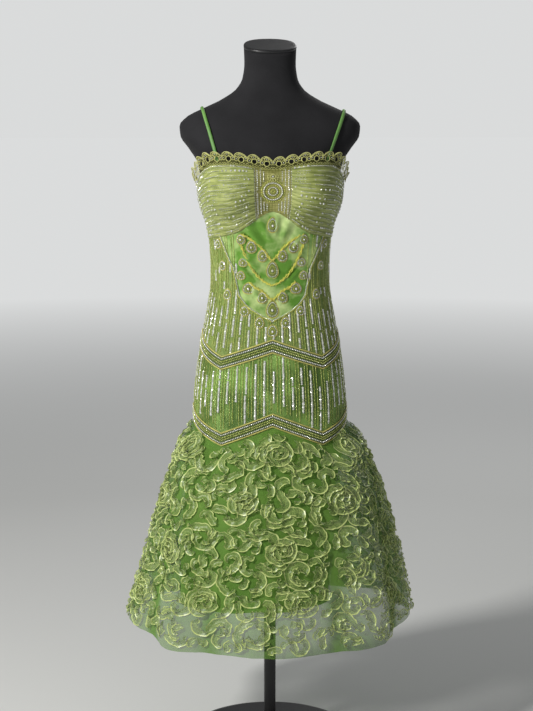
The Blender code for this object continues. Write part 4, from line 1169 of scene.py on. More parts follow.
@cache
def bead_tree(shape: BeadShape) -> Tree:
    """The Geometry Nodes tree that sews one shape of bead on points.

    Its inputs are the bead's sizes, how unevenly it lies, what picks its turn, and its finish.
    """
    tree = bpy.data.node_groups.new(f"sewn_{shape.value}", "GeometryNodeTree")
    tree.is_modifier = True
    takes = (
        ("Geometry", "Geometry"), ("Along", "Float"), ("Across", "Float"), ("Out", "Float"),
        ("Tilt", "Float"), ("Seed", "Int"), ("Finish", "Material"),
    )
    for name, kind in takes:
        tree.interface.new_socket(name, in_out="INPUT", socket_type=f"NodeSocket{kind}")
    tree.interface.new_socket("Geometry", in_out="OUTPUT", socket_type="NodeSocketGeometry")
    graph = Graph(tree)
    start, end = graph.node("NodeGroupInput").outputs, graph.node("NodeGroupOutput")

    def kept(name: str, kind: str) -> Socket:
        return graph.node("GeometryNodeInputNamedAttribute", {"Name": name}, data_type=kind).outputs[0]

    align = "FunctionNodeAlignRotationToVector"
    faced = graph.node(align, {"Vector": kept("facing", "FLOAT_VECTOR")}, axis="Z").outputs[0]
    inputs = {"Rotation": faced, "Vector": kept("along", "FLOAT_VECTOR")}
    laid = graph.node(align, inputs, axis="X", pivot_axis="Z").outputs[0]
    low, high = (
        graph.node("ShaderNodeCombineXYZ", {k: value for k in range(3)}).outputs[0]
        for value in (graph.math("MULTIPLY", start["Tilt"], -1.0), start["Tilt"])
    )
    inputs = {0: low, 1: high, "Seed": start["Seed"]}
    luck = graph.node("FunctionNodeRandomValue", inputs, data_type="FLOAT_VECTOR").outputs[0]
    tilt = graph.node("FunctionNodeEulerToRotation", {0: luck}).outputs[0]
    turned = graph.node("FunctionNodeRotateRotation", {0: laid, 1: tilt}, rotation_space="LOCAL")
    inputs = {0: start["Along"], 1: start["Across"], 2: start["Out"]}
    inputs = {0: graph.node("ShaderNodeCombineXYZ", inputs).outputs[0], "Scale": kept("size", "FLOAT")}
    sized = graph.node("ShaderNodeVectorMath", inputs, operation="SCALE")
    inputs = {
        "Points": start["Geometry"], "Instance": bead(graph, shape),
        "Rotation": turned.outputs[0], "Scale": sized.outputs[0],
    }
    sewn = graph.node("GeometryNodeInstanceOnPoints", inputs)
    real = graph.node("GeometryNodeRealizeInstances", {0: sewn.outputs[0]})
    inputs = {0: real.outputs[0], "Shade Smooth": shape is not BeadShape.SEQUIN}
    smooth = graph.node("GeometryNodeSetShadeSmooth", inputs)
    done = graph.node("GeometryNodeSetMaterial", {0: smooth.outputs[0], "Material": start["Finish"]})
    graph.feed(end.inputs[0], done.outputs[0])
    return tree


@dataclass
class Sowing:
    """Beads of one kind and size, gathered and then sewn on together.

    Attributes:
        name: the piece's name.
        shape: the bead's shape.
        size: mm along the row, across it and out from the cloth.
        finish: the beads' finish.
        slot: the record's material slot.
        tilt: how unevenly a bead lies, radians.
    """

    name: str
    shape: BeadShape
    size: tuple[float, float, float]
    finish: Finish
    slot: str = "beaded_net"
    tilt: float = 0.12
    places: list[Array] = field(default_factory=list)
    facings: list[Array] = field(default_factory=list)
    alongs: list[Array] = field(default_factory=list)
    sizes: list[Array] = field(default_factory=list)

    def sew(self, flat: Array, out: Any, size: Array | float = 1.0, along: Array | None = None) -> None:
        """Adds a row of beads.

        Args:
            flat: each bead's angle and height.
            out: how far each bead's middle stands off the body, mm.
            size: each bead's share of the full size.
            along: which way each bead lies, or None to follow the row.
        """
        if not len(flat):
            return
        spots = BODY_SHAPE.lay(flat, out)
        if along is None:
            along = np.gradient(spots, axis=0) if len(spots) > 1 else UPRIGHT
        self.places.append(spots)
        self.facings.append(BODY_SHAPE.facing(flat))
        self.alongs.append(unit(np.broadcast_to(along, spots.shape)))
        self.sizes.append(np.broadcast_to(np.asarray(size, dtype=float), len(spots)))

    def make(self, seed: int) -> Piece:
        """Sews the beads on with the shape's tree and keeps the plain mesh."""
        points = np.concatenate(self.places)
        mesh = bpy.data.meshes.new("points")
        mesh.from_pydata(points.tolist(), [], [])
        for name, values in (("facing", self.facings), ("along", self.alongs)):
            layer = mesh.attributes.new(name, "FLOAT_VECTOR", "POINT")
            layer.data.foreach_set("vector", np.concatenate(values).astype(np.float32).ravel())
        layer = mesh.attributes.new("size", "FLOAT", "POINT")
        layer.data.foreach_set("value", np.concatenate(self.sizes).astype(np.float32))
        holder = placed("points", mesh)
        tree = bead_tree(self.shape)
        change = holder.modifiers.new("sewn", "NODES")
        change.node_group = tree
        values = {
            "Along": self.size[0] * MM, "Across": self.size[1] * MM, "Out": self.size[2] * MM,
            "Tilt": self.tilt, "Seed": seed, "Finish": self.finish.material(),
        }
        for item in tree.interface.items_tree:
            if item.in_out == "INPUT" and item.name in values:
                change[item.identifier] = values[item.name]
        bpy.context.view_layer.update()
        seen = holder.evaluated_get(bpy.context.evaluated_depsgraph_get())
        made = placed(self.name, bpy.data.meshes.new_from_object(seen))
        bpy.data.objects.remove(holder)
        for name in ("facing", "along", "size"):
            found = made.data.attributes.get(name)
            if found:
                made.data.attributes.remove(found)
        return dress_piece(made, self.finish, self.slot)


def beside(line: Array, shift: Array) -> Array:
    """Flat points moved to the side of their line, each by so many millimetres."""
    scale = (mm_per_degree(float(line[:, 1].mean())), 1)
    ahead = unit(np.gradient(line * scale, axis=0))
    return line + shift[:, None] * np.stack((-ahead[:, 1], ahead[:, 0]), -1) / scale


def along_line(flat: Array, spacing: float, out: float) -> Array:
    """Flat points so many mm apart along a flat line, measured on the body."""
    spots = BODY_SHAPE.lay(flat, out)
    run = np.concatenate(([0], np.cumsum(np.linalg.norm(np.diff(spots, axis=0), axis=1))))
    at = np.linspace(0, run[-1], max(2, int(round(run[-1] / (spacing * MM))) + 1))
    return np.stack([np.interp(at, run, flat[:, k]) for k in range(2)], -1)


# Sub-assemblies


@dataclass
class DisplayForm:
    """The limbless black form: its torso and the flat cap on its neck."""

    sides: int = 96
    rows: int = 110
    low: float = 664.0
    high: float = 1472.0

    def ring(self, height: float, grow: float, shrink: float = 1.0) -> Array:
        """Points round the form at a height, moved out, and drawn in towards its middle."""
        turns = np.linspace(0, 360, self.sides, endpoint=False)
        points = FORM_SHAPE.wrap(turns, height, grow)
        middle = points.mean(0)
        return middle + (points - middle) * shrink

    def build_torso(self) -> Piece:
        """The torso, closed under the hips and at the neck."""
        heights = np.concatenate(
            (np.linspace(self.low, self.low + 24, 14)[:-1], np.linspace(self.low + 24, self.high, self.rows))
        )
        rings = [self.ring(self.low, 0.0, share) for share in (0.02, 0.5, 0.9, 0.985)]
        rings += [self.ring(height, 0.0) for height in heights]
        rings += [self.ring(self.high, 0.0, share) for share in (0.97, 0.5, 0.02)]
        rings = np.array(rings)
        piece = lofted("form_jersey", rings)
        turns = np.linspace(0, 360, self.sides, endpoint=False)
        lay_out(piece, flat_grid(turns * FLAT_DEGREE * MM, rings[..., 2]))
        return piece

    def build_cap(self) -> Piece:
        """The neck's cap, with a rounded edge."""
        steps = (
            (0.3, -0.5, 0.02), (0.3, -1.0, 1.0), (0.6, -0.2, 1.0), (1.2, 0.3, 1.0), (4.0, 0.5, 1.0),
            (5.2, 0.1, 1.0), (6.0, -0.8, 1.0), (6.3, -2.0, 1.0), (6.3, -6.0, 0.98), (6.3, -6.0, 0.02),
        )
        rings = [self.ring(self.high, grow, share) + (0, 0, lift * MM) for lift, grow, share in steps]
        return lofted("neck_cap", np.array(rings))

    def dress(self) -> None:
        """Builds the form and covers it."""
        dress_piece(self.build_torso(), JERSEY, "form", ["form_torso"])
        dress_piece(self.build_cap(), BLACK_METAL, "stand", ["form_neck_cap"])


@dataclass
class Stand:
    """The pole under the form, with its collar and round base."""

    base_radius: float = 180.0
    base_thickness: float = 11.0
    pole_radius: float = 12.5
    pole_top: float = 663.7
    gap: float = 0.3

    def turned(self, name: str, profile: Sequence[tuple[float, float]], sides: int = 96) -> Piece:
        """A piece turned about the pole from radii and heights, listed up its outer side."""
        turn = 2 * np.pi * np.arange(sides) / sides
        radius, height = np.array(profile).T[..., None]
        round_it = np.broadcast_arrays(radius * np.sin(turn), -radius * np.cos(turn), height)
        rings = np.stack(round_it, -1) * MM
        if profile[0] == profile[-1]:
            last = (len(rings) - 2) * sides
            faces = grid_faces(len(rings) - 1, sides, loop=True)
            faces += [[last + k, last + (k + 1) % sides, (k + 1) % sides, k] for k in range(sides)]
            piece = mesh_object(name, rings[:-1], faces)
        else:
            piece = lofted(name, rings)
        piece.data.set_sharp_from_angle(angle=math.radians(40))
        return piece

    def dress(self) -> None:
        """Builds the stand and paints it black."""
        r, t = self.base_radius, self.base_thickness
        edge = [(r - 4 + 4 * math.sin(a), 3.0 - 2.9 * math.cos(a)) for a in np.linspace(0.3, 2.2, 9)]
        dome = [(r - 12 - (r - 45) * s, t - 3 + 5.2 * s**1.6) for s in np.linspace(0, 1, 16)]
        base = [(1.0, 0.0), (r - 4, 0.0), *edge, *dome, (30.5, t + 2.6), (29.5, t + 3.0), (1.0, t + 3.0)]
        dress_piece(self.turned("base", base), BLACK_METAL, "stand", ["stand_base"])
        foot = t + 3 + self.gap
        pole = [
            (1.0, foot), (self.pole_radius - 0.5, foot), (self.pole_radius, foot + 0.5),
            (self.pole_radius, self.pole_top - 0.5), (self.pole_radius - 0.5, self.pole_top),
            (1.0, self.pole_top),
        ]
        dress_piece(self.turned("pole", pole, 64), BLACK_METAL, "stand", ["stand_pole"])
        bore = self.pole_radius + self.gap
        collar = [
            (bore, foot), (bore + 13.4, foot), (bore + 14, foot + 0.6), (bore + 14, foot + 4.4),
            (bore + 13, foot + 5.4), (bore + 8.5, foot + 8), (bore + 7, foot + 10), (bore + 6.4, foot + 20),
            (bore + 6, foot + 32.6), (bore + 5, foot + 34), (bore, foot + 34), (bore, foot),
        ]
        dress_piece(self.turned("collar", collar, 64), BLACK_METAL, "stand", ["stand_collar"])


def shield_angle(height: Array) -> Array:
    """The angle of the shield's edge at some heights."""
    wide = np.interp(height, [row[0] for row in SHIELD], [row[1] for row in SHIELD])
    return np.degrees(np.arcsin(np.clip(wide / BODY_PROFILE.at(height)[..., 0], 0, 1)))


def zip_edge(height: Array) -> Array:
    """The angle of the back's edge beside the zip."""
    return 180 - np.degrees(np.arcsin(ZIP_HALF / BODY_PROFILE.at(height)[..., 0]))


@dataclass
class Bodice:
    """The panels from under the bust to the upper band, and the back up to the neckline."""

    wall: float = 1.1
    columns: int = 56
    rows: int = 72
    shield_creases: Rows = (
        (-32, 1112, -13, 1058, 5.0, -3.2), (-26, 1122, -8, 1068, 5.0, 3.6), (-20, 1132, -4, 1080, 4.5, -3.2),
        (-13, 1138, -3, 1090, 4.0, 3.4), (-6, 1144, 0, 1098, 3.5, -2.8), (4, 1146, 3, 1100, 3.5, 3.0),
        (10, 1140, 5, 1090, 4.0, -2.9), (16, 1133, 8, 1084, 4.5, 3.5), (23, 1124, 10, 1070, 5.0, -3.2),
        (31, 1110, 15, 1064, 5.0, 3.4), (-32, 1064, -12, 1024, 6.0, 3.0), (-31, 1046, -14, 1006, 5.0, -2.8),
        (32, 1056, 14, 1012, 6.0, -3.0), (30, 1038, 14, 1002, 5.0, 2.7), (-24, 1000, -8, 962, 6.0, 2.6),
        (-14, 992, -3, 950, 5.0, -2.4), (23, 996, 8, 960, 6.0, -2.5), (14, 990, 4, 948, 5.0, 2.4),
        (-10, 1010, 11, 1000, 8.0, 2.2), (-20, 1030, 20, 1026, 8.0, -2.0),
    )
    side_creases: Rows = (
        (78, 1075, 62, 1020, 7.0, 1.3), (86, 1010, 66, 985, 6.0, -1.4), (84, 1032, 58, 1004, 6.0, 1.2),
    )
    back_creases: Rows = (
        (96, 1030, 128, 1000, 7.0, 1.6), (98, 1010, 132, 984, 6.0, -1.5),
        (160, 1040, 130, 1012, 7.0, 1.5), (100, 1180, 120, 1120, 8.0, 1.2),
    )

    def edge(self) -> Array:
        """The shield's edge on the wearer's left, from its point to under the cup."""
        heights = np.linspace(SHIELD[0][0], SHIELD[-1][0] - 1, 60)
        line = np.stack((shield_angle(heights), heights), -1)
        over = seam(UNDERBUST, line[-1, 0]) + TUCK
        return np.vstack((line, (line[-1, 0], over)))

    def shield(self) -> Array:
        """The flat shield."""
        edge = self.edge()
        start = 6
        side = even(edge[start:], self.rows)
        bottom = even(np.vstack((edge[start::-1] * (-1, 1), edge[1 : start + 1])), self.columns)
        top = seam_run(UNDERBUST, -edge[-1, 0], edge[-1, 0], self.columns, TUCK)
        return patch(bottom, top, side * (-1, 1), side)

    def side_front(self) -> Array:
        """The flat panel beside the shield, on the wearer's left."""
        low = seam(UPPER_BAND, 0) - TUCK
        inner = even(np.vstack(((0, low), self.edge())), self.rows)
        foot, over = seam(UPPER_BAND, SIDE_SEAM) - TUCK, seam(UNDERBUST, SIDE_SEAM) + TUCK
        outer = upright(SIDE_SEAM, foot, over, self.rows)
        bottom = seam_run(UPPER_BAND, 0, SIDE_SEAM, self.columns, -TUCK)
        top = seam_run(UNDERBUST, inner[-1, 0], SIDE_SEAM, self.columns, TUCK)
        return patch(bottom, top, inner, outer)

    def back(self) -> Array:
        """The flat half of the back, on the wearer's left."""
        low, high = seam(UPPER_BAND, SIDE_SEAM) - TUCK, seam(NECKLINE, SIDE_SEAM)
        side = upright(SIDE_SEAM, low, high, self.rows)
        heights = np.linspace(seam(UPPER_BAND, 180) - TUCK, seam(NECKLINE, 180), self.rows)
        centre = np.stack((zip_edge(heights), heights), -1)
        bottom = seam_run(UPPER_BAND, SIDE_SEAM, centre[0, 0], self.columns, -TUCK)
        top = seam_run(NECKLINE, SIDE_SEAM, centre[-1, 0], self.columns)
        return patch(bottom, top, side, centre)

    def dress(self) -> None:
        """Makes the panels."""
        satin, net = (
            Cloth(BODY_SHAPE, CLOTH, self.wall, finish, slot)
            for finish, slot in ((SATIN, "satin"), (NET, "beaded_net"))
        )
        flat = self.shield()
        satin.sheet("shield_satin", "front_shield", flat, CLOTH + creased(flat, self.shield_creases))
        panels = (
            ("side_net", "side_front", self.side_front(), self.side_creases),
            ("back_net", "back", self.back(), self.back_creases),
        )
        for word, sign in (("left", 1), ("right", -1)):
            for name, node, left, creases in panels:
                flat = left if sign > 0 else mirrored(left)
                net.sheet(f"{name}_{word}", f"{node}_{word}", flat, CLOTH + creased(flat, creases, sign))


@dataclass
class Hips:
    """The satin between the two bands.

    Attributes:
        top: the height where the creases start.
        foot: the height where they end.
        creases: where each is on its panel from 0 to 1, how far it leans in degrees, and its depth.
    """

    wall: float = 1.1
    columns: int = 84
    rows: int = 30
    top: float = 832.0
    foot: float = 722.0
    creases: Rows = (
        (0.12, 5, 1.2), (0.3, -4, -1.3), (0.47, 3, 1.1), (0.66, 5, -1.2), (0.86, -4, 1.2),
    )

    def flat(self, start: float, end: float) -> Array:
        """The flat panel between two angles."""
        sides = [
            upright(at, seam(LOWER_BAND, at) - TUCK, seam(UPPER_BAND, at) - BAND_HEIGHT + TUCK, self.rows)
            for at in (start, end)
        ]
        bottom = seam_run(LOWER_BAND, start, end, self.columns, -TUCK)
        top = seam_run(UPPER_BAND, start, end, self.columns, TUCK - BAND_HEIGHT)
        return patch(bottom, top, *sides)

    def dress(self) -> None:
        """Makes the three panels."""
        last = float(zip_edge(np.array(800.0)))
        cloth = Cloth(BODY_SHAPE, CLOTH, self.wall, HIP_SATIN, "satin")
        panels = (("front", -90, 90), ("back_left", 90, last), ("back_right", 360 - last, 270))
        for word, start, end in panels:
            flat = self.flat(start, end)
            rows = []
            for share, lean, depth in self.creases:
                at = start + (end - start) * share
                rows.append((at, self.top, at + lean, self.foot, 6.0, depth))
            cloth.sheet(f"hip_satin_{word}", f"hip_{word}", flat, CLOTH + creased(flat, rows))


@dataclass
class BeadBand:
    """A zigzag band: gold cord at its edges, and rows of beads between them.

    Attributes:
        name: the solid's name.
        line: the band's upper edge.
        last: the angle where it ends beside the zip.
    """

    name: str
    line: Rows
    last: float
    backing_out: float = 4.6
    cord: float = 1.45
    wall: float = 0.6

    def angles(self) -> Array:
        """Angles round the band, with one at each corner."""
        corners = [row[0] for row in self.line if row[0] < self.last]
        steps = np.arange(-178.5, 178.6, 1.5)
        return np.unique(np.concatenate((steps, corners, [-c for c in corners], (-self.last, self.last))))

    def row(self, share: float) -> Array:
        """A flat line so far down the band."""
        angles = self.angles()
        return np.stack((angles, seam(self.line, angles) - share * BAND_HEIGHT), -1)

    def dress(self) -> None:
        """Makes the band's backing, its cords and its beads."""
        flat = np.array([self.row(share) for share in np.linspace(0.02, 0.98, 9)[::-1]])
        backing = Cloth(BODY_SHAPE, self.backing_out, self.wall, BAND_NET, "bead_band")
        backing.sheet(f"{self.name}_backing", self.name, flat, self.backing_out)
        heap = Heap()
        for share in (0.05, 0.95):
            line = along_line(self.row(share), 2.2, 5.0)
            swell = 0.8 + 0.12 * np.sin(np.arange(len(line)) * 1.9)
            heap.cord(line, self.backing_out + swell, self.cord)
        dress_piece(heap.piece(f"{self.name}_cords"), GOLD_CORD, "bead_band")
        rows = (
            ("silver", (3.4, 4.0, 3.0), SILVER, (0.215, 0.785), 3.9, 21),
            ("green", (3.2, 3.6, 2.8), GREEN_BEAD, (0.42, 0.58), 3.6, 42),
        )
        for word, size, finish, shares, pitch, seed in rows:
            sowing = Sowing(f"{self.name}_{word}", BeadShape.ROUND, size, finish, "bead_band")
            for share in shares:
                sowing.sew(along_line(self.row(share), pitch, 5.0), self.backing_out + size[2] / 2)
            sowing.make(seed)


@dataclass
class Cups:
    """The ruched cups and the beaded piece between them.

    Attributes:
        folds: how many gathers a cup has.
        columns: how many points a gather has along it.
        samples: how many points each gather has across it.
        rise: how far the gathers stand out, mm.
        wall: the cups' thickness, mm.
        insert_out: how far the piece between them stands off, mm.
        insert_wall: its thickness, mm.
        middle: the height of its roundel.
        reach: the roundel's radius, mm.
    """

    folds: int = 15
    columns: int = 84
    samples: int = 9
    rise: float = 1.75
    wall: float = 1.6
    insert_out: float = 5.3
    insert_wall: float = 1.0
    middle: float = 1188.0
    reach: float = 21.0

    @staticmethod
    def height(angle: Array, share: Array, short: float = 0.0) -> Array:
        """The height so far up from under the bust to the neckline, or to some mm short of it."""
        low, high = seam(UNDERBUST, angle), seam(NECKLINE, angle) - short
        return low + (high - low) * share

    @staticmethod
    def raised(share: Array) -> Array:
        """How far the roundel stands out at a share of its radius, mm."""
        return np.interp(share, (0.0, 0.38, 0.55, 0.82, 1.0), (2.6, 2.2, 0.9, 1.9, 0.0))

    def base_out(self, u: Array, v: Array) -> Array:
        """How far the cup stands off the body before its gathers, mm. It turns in at its edges."""
        low = np.clip(v / 0.05, 0, 1)
        side = np.clip((1 - u) / 0.06, 0, 1)
        inner = np.clip(u / 0.05, 0, 1)
        edges = np.sqrt(low * (2 - low)) * np.sqrt(side * (2 - side))
        return 4.3 + (CUP - 4.3) * edges - 0.4 * (1 - inner)

    def cup(self, word: str, sign: int) -> None:
        """Makes one cup with its gathers."""
        angles = np.linspace(CUP_INNER_ANGLE, SIDE_SEAM, self.columns)
        rows = self.folds * self.samples + 1
        flat = rising(angles, seam(UNDERBUST, angles) - 2.5, seam(NECKLINE, angles), rows)
        u, v = np.meshgrid(np.linspace(0, 1, self.columns), np.linspace(0, 1, rows))
        seed = 5 if sign > 0 else 9
        drift = 0.026 * ripple(u, seed, 3, 1.2) + 0.013 * ripple(u * 1.7 + v * 2.6, seed + 1, 3, 2.0)
        phase = (v + drift * np.sin(np.pi * v)) * self.folds
        number = np.floor(phase)
        crest = np.abs(np.sin(np.pi * phase)) ** 0.9
        swell = 0.66 + 0.34 * np.sin(number * 2.4 + 7 * u + seed) + 0.28 * ripple(u * 2 + v, seed + 2, 4, 2.0)
        fade = np.clip(v / 0.02, 0, 1) * np.clip((1 - v) / 0.02, 0, 1)
        out = self.base_out(u, v) + self.rise * crest * swell * fade
        if sign < 0:
            flat, out, crest = mirrored(flat), out[:, ::-1], crest[:, ::-1]
        cloth = Cloth(BODY_SHAPE, CUP, self.wall, TULLE, "ruched_tulle", "gathered", 1.3)
        piece = cloth.sheet(f"ruched_cup_{word}", f"cup_{word}", flat, out)
        # Crest drives the painted shade in the valleys of the gathers.
        mark(piece, "crest", 0.18 + 0.72 * crest)

    def insert(self) -> None:
        """Makes the piece between the cups, with its roundel."""
        angles = np.linspace(-CUP_INNER_ANGLE, CUP_INNER_ANGLE, 48)
        flat = rising(angles, seam(UNDERBUST, angles) - 1.5, seam(NECKLINE, angles), 72)
        share = np.hypot(flat[..., 0] * BUST_DEGREE, flat[..., 1] - self.middle) / self.reach
        cloth = Cloth(BODY_SHAPE, self.insert_out, self.insert_wall, INSERT, "beaded_net")
        piece = cloth.sheet("insert_net", "bust_insert", flat, self.insert_out + self.raised(share))
        mark(piece, "crest", np.where(share < 1.08, 0.15, 0.3 + 0.25 * np.sin(flat[..., 0] * 2.6)))

    def lines(self) -> Iterator[tuple[float, float, float]]:
        """The short upright lines of beads over and under the roundel: angle, lower and upper end."""
        clear = self.reach + 2.5
        for k in range(-5, 6):
            angle = k * 2.4
            reach = 0.0
            if abs(angle) < 10:
                reach = math.sqrt(max(0.0, 1 - (angle * BUST_DEGREE / clear) ** 2)) * clear
            top, foot = float(seam(NECKLINE, angle)) - 4, float(seam(UNDERBUST, angle)) + 5
            if abs(k) > 2:
                yield angle, self.middle + 2 + reach + 2, top - 4 * (k % 2)
            over = self.middle - 2 - reach - 3
            if over > foot + 4 and abs(k) > 1:
                yield angle, foot + 3 * (k % 2), over

    def roundel(self) -> None:
        """Sews rings of beads on the piece between the cups."""
        centre = np.array((0.0, self.middle))
        silver = Sowing("roundel_silver", BeadShape.ROUND, (3.4, 3.4, 2.8), SILVER)
        gold = Sowing("roundel_gold", BeadShape.ROUND, (2.6, 2.6, 2.2), GOLD)
        for reach, sowing in ((21, gold), (16.8, silver), (12.4, gold), (8.0, silver), (3.4, gold)):
            count = int(2 * math.pi * reach / 3.5)
            turns = 2 * np.pi * np.arange(count) / count
            flat = centre + reach * np.stack((np.cos(turns) / BUST_DEGREE, np.sin(turns)), -1)
            sowing.sew(flat, self.insert_out + self.raised(reach / self.reach) + 0.8)
        for angle, low, high in self.lines():
            flat = np.array(((angle, low), (angle, high)))
            silver.sew(along_line(flat, 3.6, 5.0), 6.0, 0.85)
        silver.make(3)
        gold.make(4)

    def sequins(self) -> None:
        """Sews rows of sequins along the gathers."""
        luck = random.Random(21)
        big = Sowing("cup_sequins", BeadShape.SEQUIN, (3.6, 3.6, 1.0), SILVER, "ruched_tulle", 0.3)
        small = Sowing("cup_seeds", BeadShape.SEED, (2.3, 2.3, 2.0), SILVER, "ruched_tulle")
        span = SIDE_SEAM - CUP_INNER_ANGLE
        for sign in (-1, 1):
            for fold in range(1, self.folds + 1):
                v = (fold - 0.5) / self.folds
                u = luck.uniform(0.03, 0.1)
                while u < 0.95:
                    angle = CUP_INNER_ANGLE + span * u
                    if luck.random() < 0.5:
                        spot = np.array([(sign * angle, self.height(angle, v))])
                        big.sew(spot, CUP + self.rise, luck.uniform(0.95, 1.5))
                        u += luck.uniform(0.025, 0.05)
                        continue
                    length = luck.uniform(3, 15) * (0.5 + 0.9 * v)
                    ends = np.array((angle, min(angle + length, SIDE_SEAM - 3)))
                    if ends[1] > ends[0] + 1.2:
                        spots = along_line(np.stack((sign * ends, self.height(ends, v)), -1), 2.7, CUP)
                        small.sew(spots, CUP + self.rise - 0.2, luck.uniform(0.8, 1.1))
                        if luck.random() < 0.5:
                            between = spots - (0, 4.6)
                            small.sew(between[::2], CUP + 0.6 * self.rise, 0.8)
                    u += (length + luck.uniform(2.0, 9.0)) / span
            rim = seam_run(NECKLINE, sign * (CUP_INNER_ANGLE + 2), sign * 84, 70, -5)
            small.sew(along_line(rim, 2.9, CUP), CUP + 1.9)
            for shift in (0.0, 1.4):
                side = upright(sign * (CUP_INNER_ANGLE - shift), 0, 1, 60)
                side[:, 1] = self.height(side[:, 0], side[:, 1], 4)
                small.sew(along_line(side, 3.4, CUP), CUP + 0.9, 0.85)
        big.make(5)
        small.make(6)

    def dress(self) -> None:
        """Makes both cups, the piece between them and their beads."""
        self.cup("left", 1)
        self.cup("right", -1)
        self.insert()
        self.roundel()
        self.sequins()


class Zone(Enum):
    """Where upright lines of beads are sewn."""

    WAIST = "waist"
    HIP = "hip"


@dataclass
class BeadStrands:
    """Upright lines of sequins and beads on the sides, the back and the hips.

    Attributes:
        pitch: how far apart the lines of sequins are, degrees. Two lines of beads lie between them.
        shield_end: the angle where the shield's edge meets the cup.
        dense_below: the height under which the sequins lie close together.
        seed: picks their places.
    """

    pitch: float = 7.2
    shield_end: float = 34.5
    dense_below: float = 985.0
    seed: int = 31

    def ends(self, zone: Zone, angle: float) -> tuple[float, float]:
        """The heights between which a zone's line is sewn at an angle."""
        if zone is Zone.HIP:
            return float(seam(LOWER_BAND, angle)) + 2, float(seam(UPPER_BAND, angle)) - BAND_HEIGHT - 2
        size = float(from_front(angle))
        if size > SIDE_SEAM:
            high = float(seam(NECKLINE, angle)) - 6
        elif size >= self.shield_end:
            high = float(seam(UNDERBUST, angle)) - 4
        else:
            heights = np.linspace(SHIELD[0][0], SHIELD[-1][0] - 2, 80)
            high = float(np.interp(size, shield_angle(heights), heights)) - 5
        return float(seam(UPPER_BAND, angle)) + 2, high

    @staticmethod
    def line(angle: float, low: float, high: float, pitch: float) -> Array:
        """Flat points up one line."""
        return upright(angle, low, high, max(2, int((high - low) / pitch) + 1))

    def dashes(
        self, luck: random.Random, zone: Zone, low: float, high: float
    ) -> Iterator[tuple[float, float]]:
        """The stretches of a line that carry sequins, as heights."""
        if zone is Zone.HIP:
            top = high - (high - low) * luck.choice((0.0, 0.02, 0.08, 0.22, 0.3))
            foot = max(low, top - (high - low) * luck.uniform(0.5, 0.95))
            if luck.random() < 0.4:
                gap = luck.uniform(0.3, 0.75) * (top - foot) + foot
                yield gap + 7, top
                yield foot, gap
            else:
                yield foot, top
            return
        top = high - luck.uniform(0, 25)
        while top > low + 12:
            dense = top < self.dense_below
            length = luck.uniform(22, 56) if dense else luck.uniform(8, 20)
            if dense or luck.random() < 0.45:
                yield max(low, top - length), top
            top -= length + (luck.uniform(5, 16) if dense else luck.uniform(18, 46))

    def dress(self) -> None:
        """Sews every line."""
        luck = random.Random(self.seed)
        for zone in Zone:
            sequins = Sowing(f"{zone.value}_sequins", BeadShape.SEQUIN, (4.4, 5.2, 1.2), SILVER, tilt=0.3)
            seeds = Sowing(f"{zone.value}_seeds", BeadShape.SEED, (3.0, 2.6, 2.1), GREEN_BEAD)
            for k in range(150):
                angle = -180 + (k + 0.5) * self.pitch / 3
                if float(from_front(angle)) > 177:
                    continue
                low, high = self.ends(zone, angle)
                if high - low < 8:
                    continue
                if k % 3:
                    start = low + luck.uniform(0, 12)
                    seeds.sew(self.line(angle, start, high, 3.0), CLOTH + 0.8, 1.0, UPRIGHT)
                    continue
                for bottom, top in self.dashes(luck, zone, low, high):
                    if top - bottom > 4:
                        spots = self.line(angle + luck.uniform(-0.35, 0.35), bottom, top, 3.1)
                        sizes = np.array([luck.uniform(0.8, 1.1) for _ in spots])
                        sequins.sew(spots, CLOTH + 0.7, sizes, UPRIGHT)
            sequins.make(7)
            seeds.make(8)


@dataclass(frozen=True)
class Drop:
    """A beaded drop: angle and height of its middle, half width and half length in mm."""

    angle: float
    height: float
    half_width: float
    half_length: float

    def ring(self, share: float, count: int) -> Array:
        """Flat points round the drop, whose lower end is the fuller one."""
        turn = 2 * np.pi * (np.arange(count) + 0.5) / count
        scale = mm_per_degree(self.height)
        across = self.half_width * share * np.cos(turn) * (1 - 0.25 * np.sin(turn))
        up = self.half_length * share * np.sin(turn)
        return np.stack((self.angle + across / scale, self.height + up), -1)


